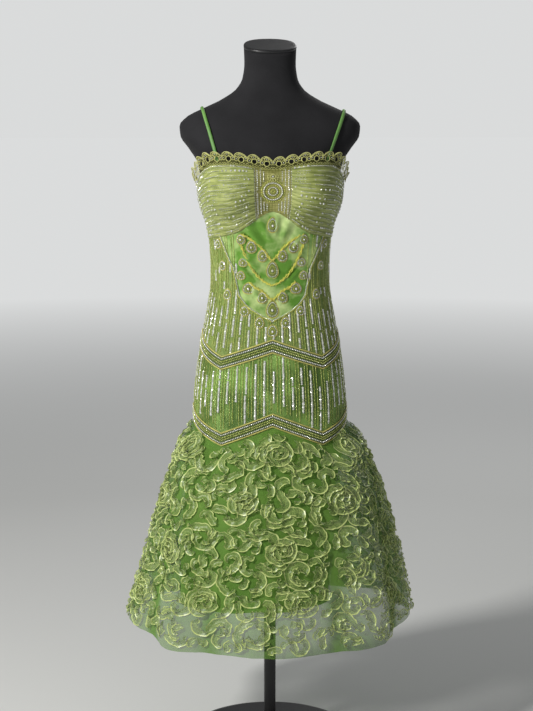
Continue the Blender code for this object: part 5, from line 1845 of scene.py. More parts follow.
@dataclass
class Drops:
    """The beaded drops and the chains of beads between them.

    Attributes:
        rows: distance from the centre front, height, half width and half length, mm.
        small: the same for the flat drops beside and below the shield.
    """

    rows: Rows = (
        (0, 1028, 10, 18), (0, 948, 10.5, 18), (20, 1057, 8, 13), (41, 1075, 8.8, 13),
        (60, 1090, 7.5, 10.5), (20, 972, 8.4, 12), (46, 990, 10, 11.5), (56, 1043, 7.6, 9),
        (60, 1016, 7.4, 9), (0, 1120, 9, 16),
    )
    small: Rows = (
        (0, 904, 9, 12.5), (26, 921, 8, 11.5), (54, 944, 7.8, 10.5), (84, 976, 8.2, 11), (93, 1034, 7.8, 10),
        (101, 1078, 7.8, 10),
    )
    rise: float = 2.4

    def all(self) -> list[Drop]:
        """Every drop, on both sides."""
        found = []
        for side, height, half_width, half_length in (*self.rows, *self.small):
            body = float(BODY_PROFILE.at(np.array(float(height)))[0])
            angle = math.degrees(math.asin(side / body))
            for sign in (1, -1) if side else (1,):
                found.append(Drop(sign * angle, height, half_width, half_length))
        return found

    def dress(self) -> None:
        """Makes the padded drops, their rims and their beads."""
        pads, rims = Heap(), Heap()
        silver = Sowing("drop_silver", BeadShape.ROUND, (2.9, 2.6, 2.3), SILVER)
        gold = Sowing("drop_gold", BeadShape.SEED, (2.3, 2.3, 2.0), GOLD)
        stones = Sowing("drop_stones", BeadShape.ROUND, (5.2, 4.6, 3.0), SILVER, tilt=0.1)
        for drop in self.all():
            sides, shares = 22, (1.0, 0.85, 0.6, 0.3)
            outs = [CLOTH + 0.2 + self.rise * (1 - share**3) for share in shares]
            rings = [BODY_SHAPE.lay(drop.ring(s, sides), out) for s, out in zip(shares, outs)]
            middle = BODY_SHAPE.wrap(drop.angle, drop.height, CLOTH + 0.2 + self.rise)
            faces = grid_faces(len(rings), sides, loop=True)
            top = len(rings) * sides
            faces += [[top - sides + k, top - sides + (k + 1) % sides, top] for k in range(sides)]
            pads.add(np.vstack((*rings, middle[None])), faces)
            rims.cord(drop.ring(1.0, 30), CLOTH + 0.7, 0.95, 5, closed=True)
            size = (drop.half_width + drop.half_length) * math.pi
            silver.sew(drop.ring(0.78, max(8, int(size * 0.78 / 3.1))), CLOTH + 2.0)
            gold.sew(drop.ring(0.45, max(6, int(size * 0.45 / 2.6))), CLOTH + 2.9)
            spot = np.array([(drop.angle, drop.height - drop.half_length * 0.1)])
            stones.sew(spot, CLOTH + 3.4, min(1.2, drop.half_width / 7.5))
        dress_piece(pads.piece("drop_pads"), DROP_GROUND, "beaded_net")
        dress_piece(rims.piece("drop_rims"), GOLD_CORD, "beaded_net")
        silver.make(9)
        gold.make(10)
        stones.make(11)
        self.chains()

    def chains(self) -> None:
        """Sews swags of beads between the drops, and the line along the shield's edge."""
        gold = Sowing("chain_gold", BeadShape.SEED, (4.2, 4.2, 3.2), GOLD)
        silver = Sowing("shield_edge", BeadShape.ROUND, (2.8, 2.7, 2.3), SILVER)
        swags = (
            ((29.5, 1079), (25, 1052), (16, 1020), (7, 1003), (0, 996)),
            ((29, 1101), (19.8, 1090), (9.8, 1072), (3, 1053), (0, 1047)),
            ((22.5, 1003), (15.5, 991), (9.8, 985), (3.5, 972), (0, 967)),
        )
        twists = Heap()
        for corners in swags:
            curve = Profile(np.column_stack((np.linspace(0, 1, len(corners)), corners)))
            smooth = curve.at(np.linspace(0, 1, 60))
            for sign in (1, -1):
                line = along_line(smooth * (sign, 1), 1.1, CLOTH)
                turn = np.arange(len(line)) * 1.1 / 4.2
                wide = 1.25 + 0.5 * ripple(turn / turn[-1], len(line), 4, 6.0)
                for start in (0.0, math.pi):
                    strand = beside(line, wide * np.sin(turn + start))
                    out = CLOTH + 1.6 + 0.8 * np.cos(turn + start)
                    twists.cord(strand, out, 1.05, 5)
                spots = beside(line[::4], 2.2 * np.where(np.arange(len(line[::4])) % 2, 1, -1))
                gold.sew(spots, CLOTH + 1.2, 0.75)
        heights = np.linspace(SHIELD[0][0] - 2, SHIELD[-1][0], 90)
        for sign in (1, -1):
            edge = np.stack((sign * (shield_angle(heights) + 0.4), heights), -1)
            silver.sew(along_line(edge, 3.0, CLOTH), CLOTH + 1.1)
            over = edge + (sign * 1.5, 0)
            gold.sew(along_line(over, 3.1, CLOTH), CLOTH + 1.0, 0.85)
        dress_piece(twists.piece("chain_cords"), CHAIN_CORD, "beaded_net")
        gold.make(12)
        silver.make(13)


@dataclass
class LaceEdging:
    """Scalloped lace along the neckline: a sheer ground, and rings of thread on it.

    Attributes:
        tuck: how far it reaches below the neckline, mm.
        valley: its height over the neckline between two scallops, mm.
        tall: its height over the neckline at a scallop's top, mm.
        lean: how far it leans out, mm.
        eye: the radius of the hole in a scallop, mm.
        eye_height: how far the hole's middle is over the neckline, mm.
        width: how wide a scallop is, mm.
    """

    tuck: float = 6.0
    valley: float = 12.0
    tall: float = 23.5
    lean: float = 4.0
    eye: float = 4.9
    eye_height: float = 9.5
    width: float = 22.0

    def shape(self, along: Array) -> Array:
        """The height of the lace's edge along one scallop, mm over the neckline."""
        return self.valley + (self.tall - self.valley) * np.sqrt(np.sin(np.pi * np.clip(along, 0, 1)))

    def out(self, base: float, flat: Array, number: Array | int, along: Array) -> Array:
        """How far the lace stands off: it leans out and waves to and fro."""
        foot = seam(NECKLINE, flat[..., 0]) - self.tuck
        share = np.clip((flat[..., 1] - foot) / (self.tuck + self.tall), 0, 1)
        wave = np.sin(np.pi * along) * np.where(number % 2, 1, -1)
        flare = self.lean * (1 + np.sin(np.radians(flat[..., 0])) ** 2)
        return base + share * share * (flare + 1.3 * wave)

    def length(self, name: str, start: float, end: float, scallops: int, base: float) -> None:
        """Makes one length of lace.

        Args:
            name: the solid's name.
            start: its first angle.
            end: its last angle.
            scallops: how many it has.
            base: how far its foot stands off, mm.
        """
        position = np.linspace(0, scallops, scallops * 12 + 1)
        number = np.minimum(np.floor(position), scallops - 1)
        along = position - number
        angle = start + (end - start) * position / scallops
        foot = seam(NECKLINE, angle) - self.tuck
        flat = flat_grid(angle, foot + (self.tuck + self.shape(along)) * np.linspace(0, 1, 12)[:, None])
        points = BODY_SHAPE.lay(flat, self.out(base, flat, number[None], along[None]))
        middle = (flat[1:, 1:] + flat[:-1, :-1]) / 2
        centre = start + (end - start) * (number[:-1] + 0.5) / scallops
        above = middle[..., 1] - (seam(NECKLINE, centre) + self.eye_height)
        hole = np.hypot((middle[..., 0] - centre) * NECK_DEGREE, above) < self.eye * 0.8
        ground = mesh_object(f"{name}_ground", points, grid_faces(*flat.shape[:2], skip=hole))
        bm = bmesh.new()
        bm.from_mesh(ground.data)
        bmesh.ops.delete(bm, geom=[v for v in bm.verts if not v.link_faces], context="VERTS")
        bm.to_mesh(ground.data)
        bm.free()
        x, y, z = points_of(ground.data).T
        lay_out(ground, np.stack((np.arctan2(x, -y) * 0.13, z), -1))
        cords = self.cords(name, start, end, scallops, base)
        dress_piece(ground, LACE_NET, "lace", [name], Cut.of(points), cords)

    def cords(self, name: str, start: float, end: float, scallops: int, base: float) -> list[Piece]:
        """Sews the rings of thread: a ring round each eye and smaller ones round it."""
        eyes = Sowing(f"{name}_eyes", BeadShape.RING, (12.5, 12.5, 9.0), LACE_THREAD, "lace", 0.05)
        petals = Sowing(f"{name}_petals", BeadShape.RING, (9.2, 9.2, 6.5), LACE_THREAD, "lace", 0.12)
        feet = Sowing(f"{name}_foot", BeadShape.RING, (5.0, 5.0, 5.0), LACE_THREAD, "lace", 0.1)
        seeds = Sowing(f"{name}_seeds", BeadShape.ROUND, (2.6, 2.6, 2.2), SILVER, "lace")
        arches = Heap()
        turns = np.radians((12, 90, 168))
        around = (8.0 * np.cos(turns), 8.6 * np.sin(turns))
        rings = (
            (eyes, np.zeros(1), np.zeros(1), 0.4), (petals, *around, 0.8), (seeds, *around, 0.9),
            (feet, np.array((-8.5, -3.0, 3.0, 8.5)), np.full(4, -9.5), 0.5),
        )
        along = np.linspace(0.01, 0.99, 15)
        for k in range(scallops):
            angle = start + (end - start) * (k + 0.5) / scallops
            middle = float(seam(NECKLINE, angle) + self.eye_height)
            for sowing, across, up, lift in rings:
                flat = np.stack((angle + across / NECK_DEGREE, middle + up), -1)
                place = np.clip(0.5 + across / self.width, 0, 1)
                sowing.sew(flat, self.out(base + lift, flat, k, place), 1.0, UPRIGHT)
            angles = start + (end - start) * (k + along) / scallops
            for inset, radius in ((0.3, 0.95), (3.1, 0.6)):
                flat = np.stack((angles, seam(NECKLINE, angles) + self.shape(along) - inset), -1)
                arches.cord(flat, self.out(base + 0.9, flat, k, along), radius, 5)
        if name == "lace_front":
            low = float(seam(NECKLINE, 0)) - 13.5
            turns = np.radians(np.linspace(180, 360, 6))
            ring = np.stack((7.4 * np.cos(turns) / NECK_DEGREE, low + 6.6 * np.sin(turns)), -1)
            petals.sew(ring, CUP + 1.9, 0.8, UPRIGHT)
            eyes.sew(np.array([(0.0, low)]), CUP + 2.1, 0.85)
            seeds.sew(np.array([(0.0, low)]), CUP + 2.3, 1.6)
        arched = dress_piece(arches.piece(f"{name}_arches"), LACE_THREAD, "lace")
        return [arched, eyes.make(14), petals.make(15), feet.make(16), seeds.make(17)]

    def dress(self) -> None:
        """Makes the three lengths."""
        self.length("lace_front", -89.8, 89.8, 20, CUP + 1.6)
        self.length("lace_back_left", 90.2, 177.6, 9, CLOTH + 1.0)
        self.length("lace_back_right", 182.4, 269.8, 9, CLOTH + 1.0)


@dataclass
class Straps:
    """The narrow straps, smoothed from their solids and swollen a little."""

    swell: float = 0.6

    def dress(self) -> None:
        """Makes both straps."""
        for word in ("left", "right"):
            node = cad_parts[f"strap_{word}"]
            bm = bmesh.new()
            bm.from_mesh(node.data)
            bmesh.ops.remove_doubles(bm, verts=bm.verts, dist=0.00002)
            any_angle = {"angle_face_threshold": 3.14, "angle_shape_threshold": 3.14}
            bmesh.ops.join_triangles(bm, faces=bm.faces, **any_angle)
            bm.normal_update()
            for vert in bm.verts:
                vert.co += vert.normal * self.swell * MM
            mesh = bpy.data.meshes.new(f"strap_rouleau_{word}")
            bm.to_mesh(mesh)
            bm.free()
            mesh.transform(node.matrix_world)
            mesh.shade_smooth()
            piece = placed(mesh.name, mesh)
            x, y, z = points_of(mesh).T
            lay_out(piece, np.stack((x, z + y), -1))
            smooth = piece.modifiers.new("smooth", "SUBSURF")
            smooth.levels = smooth.render_levels = 2
            dress_piece(piece, STRAP_SATIN, "strap", [f"strap_{word}"])


@dataclass
class SatinUnderskirt:
    """The narrow satin skirt inside the tulle."""

    rows: int = 64
    columns: int = 92
    wall: float = 0.9

    def half(self, word: str, middle: float) -> None:
        """Makes the front or back half."""
        angles = np.linspace(middle - 90, middle + 90, self.columns)
        top = seam(LOWER_BAND, angles) - BAND_HEIGHT + TUCK - 2
        flat = rising(angles, UNDERSKIRT_HEM, top, self.rows)
        turn, height = flat[..., 0] / 180, flat[..., 1]
        hang = np.clip((640 - height) / 325, 0, 1)
        out = SATIN_SKIRT + hang * 2.2 * ripple(turn / 2, 41, 7, 6.0)
        out = out + 1.0 * hang * ripple(turn + height / 700, 43, 4, 3.0)
        cloth = Cloth(UNDER, SATIN_SKIRT, self.wall, SKIRT_SATIN, "satin", "hung")
        cloth.sheet(f"underskirt_satin_{word}", f"underskirt_{word}", flat, out)

    def dress(self) -> None:
        """Makes both halves."""
        self.half("front", 0)
        self.half("back", 180)


@dataclass
class TulleOverskirt:
    """The flared sheer skirt."""

    rows: int = 110
    columns: int = 182

    def folds(self, flat: Array) -> Array:
        """How much painted shade each point gets, from 0 to 1, in the troughs between the folds, as extra
        cover of the net.
        """
        deep = np.zeros(flat.shape[:2])
        for angle, out, width in OVERSKIRT_FOLDS:
            if out < 0:
                away = (flat[..., 0] - angle + 180) % 360 - 180
                deep = np.maximum(deep, -out / 17 * np.exp(-((away / (0.42 * width)) ** 2)))
        return deep * np.clip((690 - flat[..., 1]) / 170, 0, 1)

    def half(self, word: str, middle: float) -> None:
        """Makes the front or back half."""
        angles = np.linspace(middle - 90, middle + 90, self.columns)
        top = seam(LOWER_BAND, angles) - BAND_HEIGHT + 4
        bottom = seam(HEM, angles) + 1.5 * ripple(angles / 360, 51, 5, 5.0)
        flat = rising(angles, bottom, top, self.rows)
        turn, height = flat[..., 0] / 360, flat[..., 1]
        share = np.linspace(0, 1, self.rows)[:, None]
        near_top = np.clip((height - (top - 22)) / 22, 0, 1)
        pleats = np.exp(-np.maximum(top - height, 0) / 60) * 1.1 * ripple(turn, 53, 6, 30.0)
        loose = np.clip((620 - height) / 360, 0, 1) * 1.3 * ripple(turn + 0.02 * share, 57, 6, 12.0)
        out = OVERSKIRT_OUT - 1.2 * near_top + (pleats + loose) * (1 - near_top)
        piece = cloth_grid(f"tulle_{word}", OVER, flat, out)
        # The fold marks paint shade into the troughs between the folds.
        mark(piece, "fold", self.folds(flat))
        cut = Cut.of(OVER.lay(flat, OVERSKIRT_OUT), "hung")
        ribbons = RibbonWork(middle).dress(word)
        dress_piece(piece, SHEER, "ribbon_tulle", [f"overskirt_{word}"], cut, [ribbons])

    def dress(self) -> None:
        """Makes both halves, with their ribbons."""
        self.half("front", 0)
        self.half("back", 180)


class RibbonStyle(Enum):
    """How the large ribbons are laid: length, mm, and each bend's start, end and turn."""

    HAIRPIN = (104, ((0.28, 0.72, 185),))
    ESS = (112, ((0.08, 0.45, 160), (0.55, 0.92, -160)))
    HOOK = (96, ((0.40, 0.90, 205),))
    COIL = (150, ((0.0, 0.38, 205), (0.38, 1.0, 200)))
    WAVE = (108, ((0.05, 0.32, 95), (0.36, 0.66, -140), (0.72, 0.97, 95)))
    COMMA = (62, ((0.15, 0.85, 130),))


@dataclass
class Ribbon:
    """One piece of ribbon sewn on the tulle, with the angle and height of its middle."""

    angle: float
    height: float

    def __post_init__(self) -> None:
        """Works out how long a degree is on the skirt at its height, mm."""
        half, front, back, _ = OVER.section(np.array(self.height))
        self.scale = math.radians((half + (front + back) / 2) / 2)

    def laid(self, step: float) -> Array:
        """The ribbon's middle line on its own plane, mm, in steps about so long."""
        raise NotImplementedError

    def flat(self, points: Array) -> Array:
        """Points of the ribbon's own plane as angles and heights."""
        return np.stack((self.angle + points[..., 0] / self.scale, self.height + points[..., 1]), -1)

    def trail(self) -> Array:
        """Points close together along the ribbon on the skirt without its folds, mm."""
        return OVER.unfolded(self.flat(self.laid(4.0)))


@dataclass
class LaidRibbon(Ribbon):
    """A large ribbon in one of the styles, turned by some degrees."""

    style: RibbonStyle
    turn: float

    def laid(self, step: float) -> Array:
        """The line on the ribbon's own plane, mm, centred on its box."""
        length, bends = self.style.value
        count, fine = max(5, round(length / step)), 12
        share = (np.arange(count * fine) + 0.5) / (count * fine)
        heading = np.zeros_like(share)
        for start, end, turn in bends:
            heading += math.radians(turn) * np.clip((share - start) / (end - start), 0, 1)
        steps = np.stack((np.cos(heading), np.sin(heading)), -1) * length / (count * fine)
        line = np.vstack(((0, 0), np.cumsum(steps, axis=0)[fine - 1 :: fine]))
        line = line - (line.min(0) + line.max(0)) / 2
        cos, sin = math.cos(math.radians(self.turn)), math.sin(math.radians(self.turn))
        return line @ np.array(((cos, sin), (-sin, cos)))


@dataclass
class GrownRibbon(Ribbon):
    """A finer ribbon, whose line finds its own way between the others."""

    path: list[Array] = field(default_factory=lambda: [np.zeros(2)])

    def laid(self, step: float) -> Array:
        """The line on the ribbon's own plane, mm, smoothed through its points."""
        path = np.array(self.path)
        run = np.concatenate(([0], np.cumsum(np.linalg.norm(np.diff(path, axis=0), axis=1))))
        at = np.linspace(0, run[-1], max(4, round(run[-1] / step) + 1))
        return Profile(np.column_stack((run, path))).at(at)


@dataclass
class Rosette(Ribbon):
    """A ribbon wound into a flat spiral, turned by some degrees and so many mm in radius."""

    turn: float
    radius: float
    pitch: float = 9.5

    def laid(self, step: float) -> Array:
        """The spiral on the ribbon's own plane, mm, a little squashed."""
        sweep = np.linspace(0, 2 * math.pi * (self.radius - 3) / self.pitch, 400)
        reach = 3 + self.pitch * sweep / (2 * math.pi) + 1.6 * np.sin(2.7 * sweep + self.turn)
        turned = sweep + math.radians(self.turn)
        line = np.stack((reach * np.cos(turned), 0.9 * reach * np.sin(turned)), -1)
        length = float(np.linalg.norm(np.diff(line, axis=0), axis=1).sum())
        return even(line, max(5, round(length / step)))


@dataclass
class RibbonWork:
    """The ribbons of half the skirt: where they lie, and their ruffled tapes of organza.

    Attributes:
        middle: the angle of the half's middle.
        seed: picks the layout.
        cad_width: the width of a ribbon on the solid, mm.
        cad_step: the length of its steps there, mm.
        clearance: the least gap between two ribbons, mm.
        tries: how often each is tried in a new place.
        step: how far apart the sections of a tape are, mm.
        main_width: the width of the large ribbons, mm.
        fill_width: the width of the finer ribbons, mm.
        main_reach: the least distance of a finer ribbon's middle line from a large one's, mm.
        fill_reach: the same between two finer ribbons.
        gap_reach: the same for the last, shortest ribbons.
        turn_reach: how close a finer ribbon may come to itself, mm.
        fill_tries: how many finer ribbons are tried.
        pace: the step by which a finer ribbon grows, mm.
        bare: the angles of the troughs that finer ribbons leave bare.
        bare_half: how far each one stays bare to either side, degrees.
        bare_top: the height above which they close.
        edge: how far from the half's middle a finer ribbon may lie, degrees.
        stand: how steeply the sides of a tape stand up, degrees.
        frill: how far their ruffles lean to and fro, degrees.
        frill_pitch: how long a ruffle is, mm.
        pinch: how much steeper they stand in a pinch, degrees.
        curl: how far they curl over, degrees.
    """

    middle: float
    seed: int = 11
    cad_width: float = 15.0
    cad_step: float = 20.0
    clearance: float = 3.5
    tries: int = 60
    step: float = 2.9
    main_width: float = 20.5
    fill_width: float = 17.5
    main_reach: float = 10.5
    fill_reach: float = 9.6
    gap_reach: float = 8.0
    turn_reach: float = 14.5
    fill_tries: int = 3000
    pace: float = 4.0
    bare: tuple[float, ...] = (26, -27, 145, 217)
    bare_half: float = 1.9
    bare_top: float = 560.0
    edge: float = 88.7
    stand: float = 27.0
    frill: float = 15.0
    frill_pitch: float = 12.5
    pinch: float = 52.0
    curl: float = 14.0

    def layout(self) -> list[Ribbon]:
        """The ribbons, none of which touch, as they are on the solid."""
        luck = random.Random(self.seed + int(self.middle))
        made: list[Ribbon] = []
        trails: list[Array] = []

        def fits(piece: Ribbon) -> bool:
            margin = self.cad_width / 2 + self.clearance
            line = piece.laid(self.cad_step)
            flat = piece.flat(line)
            top = seam(LOWER_BAND, flat[:, 0]) - BAND_HEIGHT - 1.2 * margin
            bottom = seam(HEM, flat[:, 0]) + margin
            if not ((bottom < flat[:, 1]) & (flat[:, 1] < top)).all():
                return False
            if (np.abs(flat[:, 0] - self.middle) > 90 - margin / piece.scale).any():
                return False
            fine = np.stack([line[:-1] + np.diff(line, axis=0) * t for t in (0.0, 0.33, 0.67)], 1)
            trail = OVER.unfolded(piece.flat(np.vstack((fine.reshape(-1, 2), line[-1:]))))
            for other in trails:
                gaps = np.linalg.norm(trail[:, None] - other[None], axis=2)
                if gaps.min() < self.cad_width + self.clearance:
                    return False
            made.append(piece)
            trails.append(trail)
            return True

        for row, (height, count) in enumerate(RIBBON_ROWS):
            width = 180 / count
            for k in range(count):
                for attempt in range(self.tries):
                    kind = (k * 2 + row * 3 + k // 3 + attempt // 12) % len(RibbonStyle)
                    angle = self.middle - 90 + (k + 0.5 + luck.uniform(-0.22, 0.22)) * width
                    spot = (angle, height + luck.uniform(-9, 9))
                    if fits(LaidRibbon(*spot, list(RibbonStyle)[kind], luck.uniform(0, 360))):
                        break
        return made

    def free(self, flat: Array, taken: Array, reach: Array) -> Array:
        """Which flat points lie clear of the skirt's edges and of the ribbons already there."""
        top = seam(LOWER_BAND, flat[:, 0]) - BAND_HEIGHT - 8
        bottom = seam(HEM, flat[:, 0]) + 11
        clear = (bottom < flat[:, 1]) & (flat[:, 1] < top) & (np.abs(flat[:, 0] - self.middle) < self.edge)
        for trough in self.bare:
            clear &= (np.abs(flat[:, 0] - trough) > self.bare_half) | (flat[:, 1] > self.bare_top)
        gaps = np.linalg.norm(OVER.unfolded(flat)[:, None] - taken[None], axis=2)
        return clear & (gaps > reach[None]).all(1)

    def grow(self, start: Array, luck: random.Random, taken: Array, reach: Array) -> GrownRibbon | None:
        """Lets one finer ribbon wind on until it meets something.

        Args:
            start: its flat start.
            luck: picks its bends.
            taken: points on the other ribbons, mm.
            reach: how far its line has to stay from each of them, mm.

        Returns:
            The ribbon, or None where there is no room.
        """
        piece = GrownRibbon(float(start[0]), float(start[1]))
        here, heading, bend = np.zeros(2), luck.uniform(0, 2 * math.pi), luck.choice((-1, 1))
        pattern: list[float] = []
        for _ in range(5):
            pattern += [bend * math.radians(luck.uniform(18, 26))] * luck.randint(6, 10)
            pattern += [0.0] * luck.randint(2, 6)
            bend = -bend
        for wanted in pattern[: luck.randint(14, 36)]:
            turns = heading + wanted + np.radians((0, 9, -9, 20, -20, 32, -32))
            ahead = here + self.pace * np.stack((np.cos(turns), np.sin(turns)), -1)
            fits = self.free(piece.flat(ahead), taken, reach)
            older = np.array(piece.path[:-5])
            if len(older):
                fits &= (np.linalg.norm(ahead[:, None] - older[None], axis=2) > self.turn_reach).all(1)
            if not fits.any():
                break
            pick = int(np.argmax(fits))
            here, heading = ahead[pick], float(turns[pick])
            piece.path.append(here)
        return piece if len(piece.path) > 4 else None

    def rosettes(self) -> list[Ribbon]:
        """The spirals that lie on the other ribbons."""
        luck = random.Random(self.seed * 5 + int(self.middle))
        found: list[Ribbon] = []
        for height, count, start in ROSETTE_ROWS:
            for k in range(count):
                angle = self.middle - 84 + (k + start + luck.uniform(-0.12, 0.12)) * 168 / count
                spot = (angle, height + luck.uniform(-12, 12))
                found.append(Rosette(*spot, luck.uniform(0, 360), luck.uniform(22, 33)))
        return found

    def fill(self, made: list[Ribbon], wound: list[Ribbon]) -> list[Ribbon]:
        """Finer ribbons for the tulle that still shows, long ones first and short ones last."""
        luck = random.Random(self.seed * 7 + int(self.middle))
        taken = np.concatenate([piece.trail() for piece in made + wound])
        reach = np.full(len(taken), self.main_reach)
        found: list[Ribbon] = []
        for least in (12, 7):
            if least == 7:
                reach = np.full(len(taken), self.gap_reach)
            for _ in range(self.fill_tries):
                start = np.array((self.middle + luck.uniform(-88.5, 88.5), 262 + 436 * luck.random()))
                if not self.free(start[None], taken, reach)[0]:
                    continue
                piece = self.grow(start, luck, taken, reach)
                if piece is None or len(piece.path) < least:
                    continue
                found.append(piece)
                trail = piece.trail()
                taken = np.concatenate((taken, trail))
                reach = np.concatenate((reach, np.full(len(trail), self.fill_reach)))
        return found

    def side(self, run: Array, bend: Array, folds: Array, number: int) -> tuple[Array, Array]:
        """One side of a tape, as it stands up from its stitched middle.

        Args:
            run: how far along the tape each section is, mm.
            bend: how sharply it turns towards this side there, from -1 to 1.
            folds: how far it is pinched there.
            number: picks its ruffles.

        Returns:
            How far across and how far up each point of the section is, in half widths.
        """
        t = run / run[-1]
        slow = ripple(t, number, 4, max(1.0, run[-1] / 60))
        stand = self.stand + 20 * slow + 26 * np.clip(bend, -0.6, 1.3)
        sway = run * 2 * math.pi / self.frill_pitch + 2.2 * ripple(t, number + 40, 3, 2.0) + number
        lean = np.radians(np.clip(stand + self.frill * np.sin(sway) + self.pinch * folds, 3, 100))
        curl = np.radians(self.curl + 22 * ripple(t, number + 80, 3, 3.0))
        places = np.array([place for place, _ in TAPE])
        middles, lengths = (places[1:] + places[:-1]) / 2, np.diff(places)
        angles = lean[:, None] + curl[:, None] * (middles[None] - 0.4)
        across = np.cumsum(np.cos(angles) * lengths, axis=1)
        up = np.cumsum(np.sin(angles) * lengths, axis=1)
        return across, up

    def tape(self, heap: Heap, ribbon: Ribbon, number: int, width: float, lift: float) -> None:
        """Adds one ribbon: an open tape stitched down its middle, its edges ruffled.

        Args:
            heap: gathers the ribbons.
            ribbon: the ribbon.
            number: picks its ruffles.
            width: how wide it is, mm.
            lift: how far its middle stands off the tulle, mm.
        """
        line = ribbon.laid(self.step)
        count = len(line)
        ahead = unit(np.gradient(line, axis=0))
        across = np.stack((ahead[:, 1], -ahead[:, 0]), -1)
        run = np.concatenate(([0], np.cumsum(np.linalg.norm(np.diff(line, axis=0), axis=1))))
        heading = np.unwrap(np.arctan2(ahead[:, 1], ahead[:, 0]))
        bend = -np.gradient(heading, run) * width / 2
        near = np.minimum(run, run[-1] - run)
        pinch_at = 24 + 11 * ((number * 7) % 5) / 4
        folds = np.exp(-((((run + 9 * (number % 4)) % (2 * pinch_at)) - pinch_at) / 5.5) ** 2)
        folds = np.maximum(folds, np.exp(-near / 3.5))
        half = width / 2 * (0.55 + 0.45 * np.clip(near / 5.0, 0, 1))
        half = half * (0.97 + 0.12 * ripple(run / run[-1], number + 20, 4, 2.0))
        sides = [self.side(run, sign * bend, folds, number + 100 * (sign + 2)) for sign in (-1, 1)]
        middle = np.zeros((count, 1))
        places = np.concatenate((-sides[0][0][:, ::-1], middle, sides[1][0]), axis=1)
        rises = np.concatenate((sides[0][1][:, ::-1], middle, sides[1][1]), axis=1)
        edge = [share for _, share in TAPE]
        spots = line[:, None] + across[:, None] * (half[:, None] * places)[..., None]
        points = OVER.lay(ribbon.flat(spots), OVERSKIRT_OUT + 0.3 + lift + half[:, None] * rises)
        # The edge marks: where the painted highlight and the thicker cover go, along the tape's edges and at
        # its ends.
        ends = np.clip(1 - near / 2.0, 0, 1)
        marks = np.maximum(np.array(edge[:0:-1] + edge)[None], ends[:, None])
        heap.add(points, grid_faces(count, points.shape[1]), marks)

    def dress(self, word: str) -> Piece:
        """Makes the half's ribbons as one piece."""
        heap = Heap()
        main, wound = self.layout(), self.rosettes()
        extra = self.fill(main, wound)
        kinds = (
            (main, 0, self.main_width, (0.0,)), (extra, 300, self.fill_width, (0.5, 1.4, 2.3)),
            (wound, 700, self.fill_width, (3.5,)),
        )
        for ribbons, first, width, lifts in kinds:
            for number, ribbon in enumerate(ribbons):
                lift = lifts[number % len(lifts)]
                self.tape(heap, ribbon, first + number + int(self.middle), width, lift)
        found = len(main), len(extra), len(wound)
        logging.info("ribbons of the %s: %d, %d finer ones and %d rosettes", word, *found)
        return dress_piece(heap.piece(f"ribbons_{word}", "edge"), ORGANZA, "ribbon_tulle")


@dataclass
class Closure:
    """The zip at the centre back.

    Attributes:
        pitch: how far apart the teeth are, mm.
        out: how far the tape stands off, mm.
        wall: the tape's thickness, mm.
    """

    pitch: float = 1.9
    out: float = 4.35
    wall: float = 0.5

    def dress(self) -> None:
        """Makes the tape and the teeth, and gives the slider and its pull the metal finish."""
        foot = LOWER_BAND[-1][1]
        heights = np.linspace(foot + 0.5, ZIP_TOP, 120)[:, None]
        edge = zip_edge(heights) + 0.2
        flat = flat_grid(edge + (360 - 2 * edge) * np.linspace(0, 1, 5), heights)
        tape = cloth_grid("zip_tape_cloth", BODY_SHAPE, flat, self.out, self.wall)
        teeth = Sowing("zip_teeth", BeadShape.BUGLE, (3.4, 1.0, 0.7), ZIP_METAL, "zip_metal", 0.0)
        up = np.arange(foot + 2, ZIP_SLIDER - 6, self.pitch)
        row = np.stack((np.full(len(up), 180.0), up), -1)
        teeth.sew(row, 4.7, 1.0, np.array([(1.0, 0.0, 0.0)]))
        cut = Cut.of(BODY_SHAPE.lay(flat, self.out))
        dress_piece(tape, ZIP_CLOTH, "zip", ["zip_tape"], cut, [teeth.make(18)])
        for name in ("zip_slider", "zip_pull"):
            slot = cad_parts[name].material_slots[0]
            slot.link = "OBJECT"
            slot.material = ZIP_METAL.material()


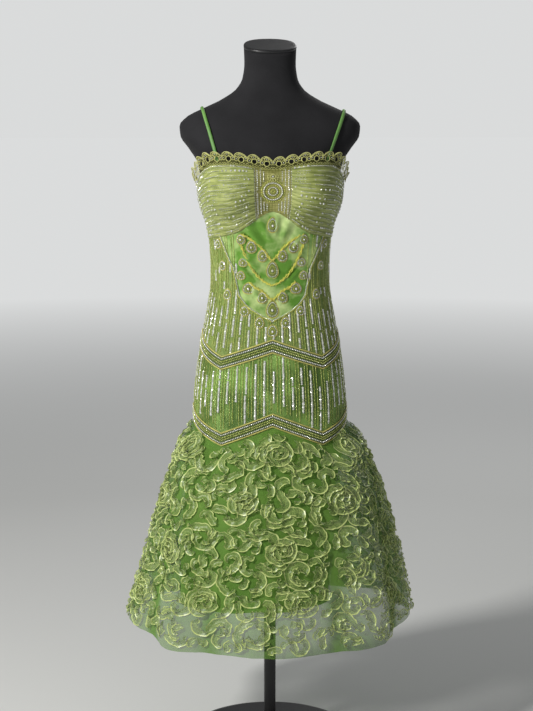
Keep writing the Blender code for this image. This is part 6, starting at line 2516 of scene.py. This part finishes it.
@dataclass
class Studio:
    """The pale floor, the soft lights and the camera.

    Attributes:
        distance: how far in front of the dress the camera is, metres.
        height: its height, metres.
        turn: how far round the dress it is, degrees.
        tip: how far it looks down, degrees.
        focal: its focal length in pixels.
        picture: the picture's height in pixels.
        sensor: the sensor's height, mm.
        shift: how far the dress is beside the picture's middle, pixels.
        backdrop: the backdrop's colour.
        glow: how much of it lights the dress.
    """

    distance: float = 3.4
    height: float = 1.40
    turn: float = -3.0
    tip: float = 9.4
    focal: float = 1642.0
    picture: float = 711.0
    sensor: float = 24.0
    shift: float = 3.5
    backdrop: Colour = (0.70, 0.71, 0.71)
    glow: float = 0.26

    def floor(self) -> None:
        """Lays the floor."""
        corners = 40.0 * np.array(((-1, -1, 0), (1, -1, 0), (1, 1, 0), (-1, 1, 0)))
        piece = mesh_object("studio_floor", corners, [(0, 1, 2, 3)])
        paint = StudioFloor("floor_paint", (0.70, 0.71, 0.70), 0.9, haze=self.backdrop)
        piece.data.materials.append(paint.material())
        piece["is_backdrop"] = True

    def sky(self) -> None:
        """Lights the room softly, in front of a paler backdrop."""
        world = bpy.data.worlds.new("studio")
        world.use_nodes = True
        graph = Graph(world.node_tree)
        seen = graph.node("ShaderNodeLightPath").outputs["Is Camera Ray"]
        soft = tuple(c * self.glow for c in self.backdrop)
        colour = graph.mix(seen, soft, self.backdrop)
        graph.tune(world.node_tree.nodes["Background"], {"Color": colour, "Strength": 1.0})
        bpy.context.scene.world = world

    def light(self, name: str, place: Sequence[float], size: float, power: float, colour: Colour) -> None:
        """Hangs one soft light that faces the dress."""
        lamp = bpy.data.lights.new(name, "AREA")
        lamp.shape = "DISK"
        lamp.size = size
        lamp.energy = power
        lamp.color = colour
        made = placed(name, lamp)
        made.location = place
        aim = Vector((0, 0, 0.85)) - made.location
        made.rotation_euler = aim.to_track_quat("-Z", "Y").to_euler()

    def camera(self) -> None:
        """Puts the camera where the photograph was taken from."""
        lens = bpy.data.cameras.new("camera")
        lens.sensor_fit = "VERTICAL"
        lens.sensor_height = self.sensor
        lens.lens = self.focal / self.picture * self.sensor
        made = placed("camera", lens)
        turn = math.radians(self.turn)
        made.location = (math.sin(turn) * self.distance, -math.cos(turn) * self.distance, self.height)
        look = turn + math.atan(self.shift / self.focal)
        made.rotation_euler = (math.radians(90 - self.tip), 0, look)
        bpy.context.scene.camera = made

    def build(self) -> None:
        """Sets up the whole studio."""
        self.floor()
        self.light("key", (-2.5, -2.1, 2.7), 0.6, 152.0, (1.0, 0.98, 0.95))
        self.light("fill", (2.6, -2.2, 1.6), 2.2, 2.0, (0.95, 0.98, 1.0))
        self.light("back", (1.2, 2.8, 2.6), 1.6, 24.0, (1.0, 1.0, 1.0))
        self.sky()
        bpy.context.scene.view_settings.view_transform = "Standard"
        self.camera()


def main() -> None:
    """Builds every piece in order."""
    logging.basicConfig(level=logging.INFO, format="%(message)s", stream=sys.stdout)
    Studio().build()
    DisplayForm().dress()
    Stand().dress()
    Bodice().dress()
    Hips().dress()
    BeadBand("band_upper", UPPER_BAND, 178.4).dress()
    BeadBand("band_lower", LOWER_BAND, 179.8).dress()
    Cups().dress()
    BeadStrands().dress()
    Drops().dress()
    LaceEdging().dress()
    Straps().dress()
    SatinUnderskirt().dress()
    TulleOverskirt().dress()
    Closure().dress()
    boxes = {"cad": CAD_BOX, "visual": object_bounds()}
    {key: [[float(c) for c in corner] for corner in box] for key, box in boxes.items()}


if __name__ == "__main__":
    main()
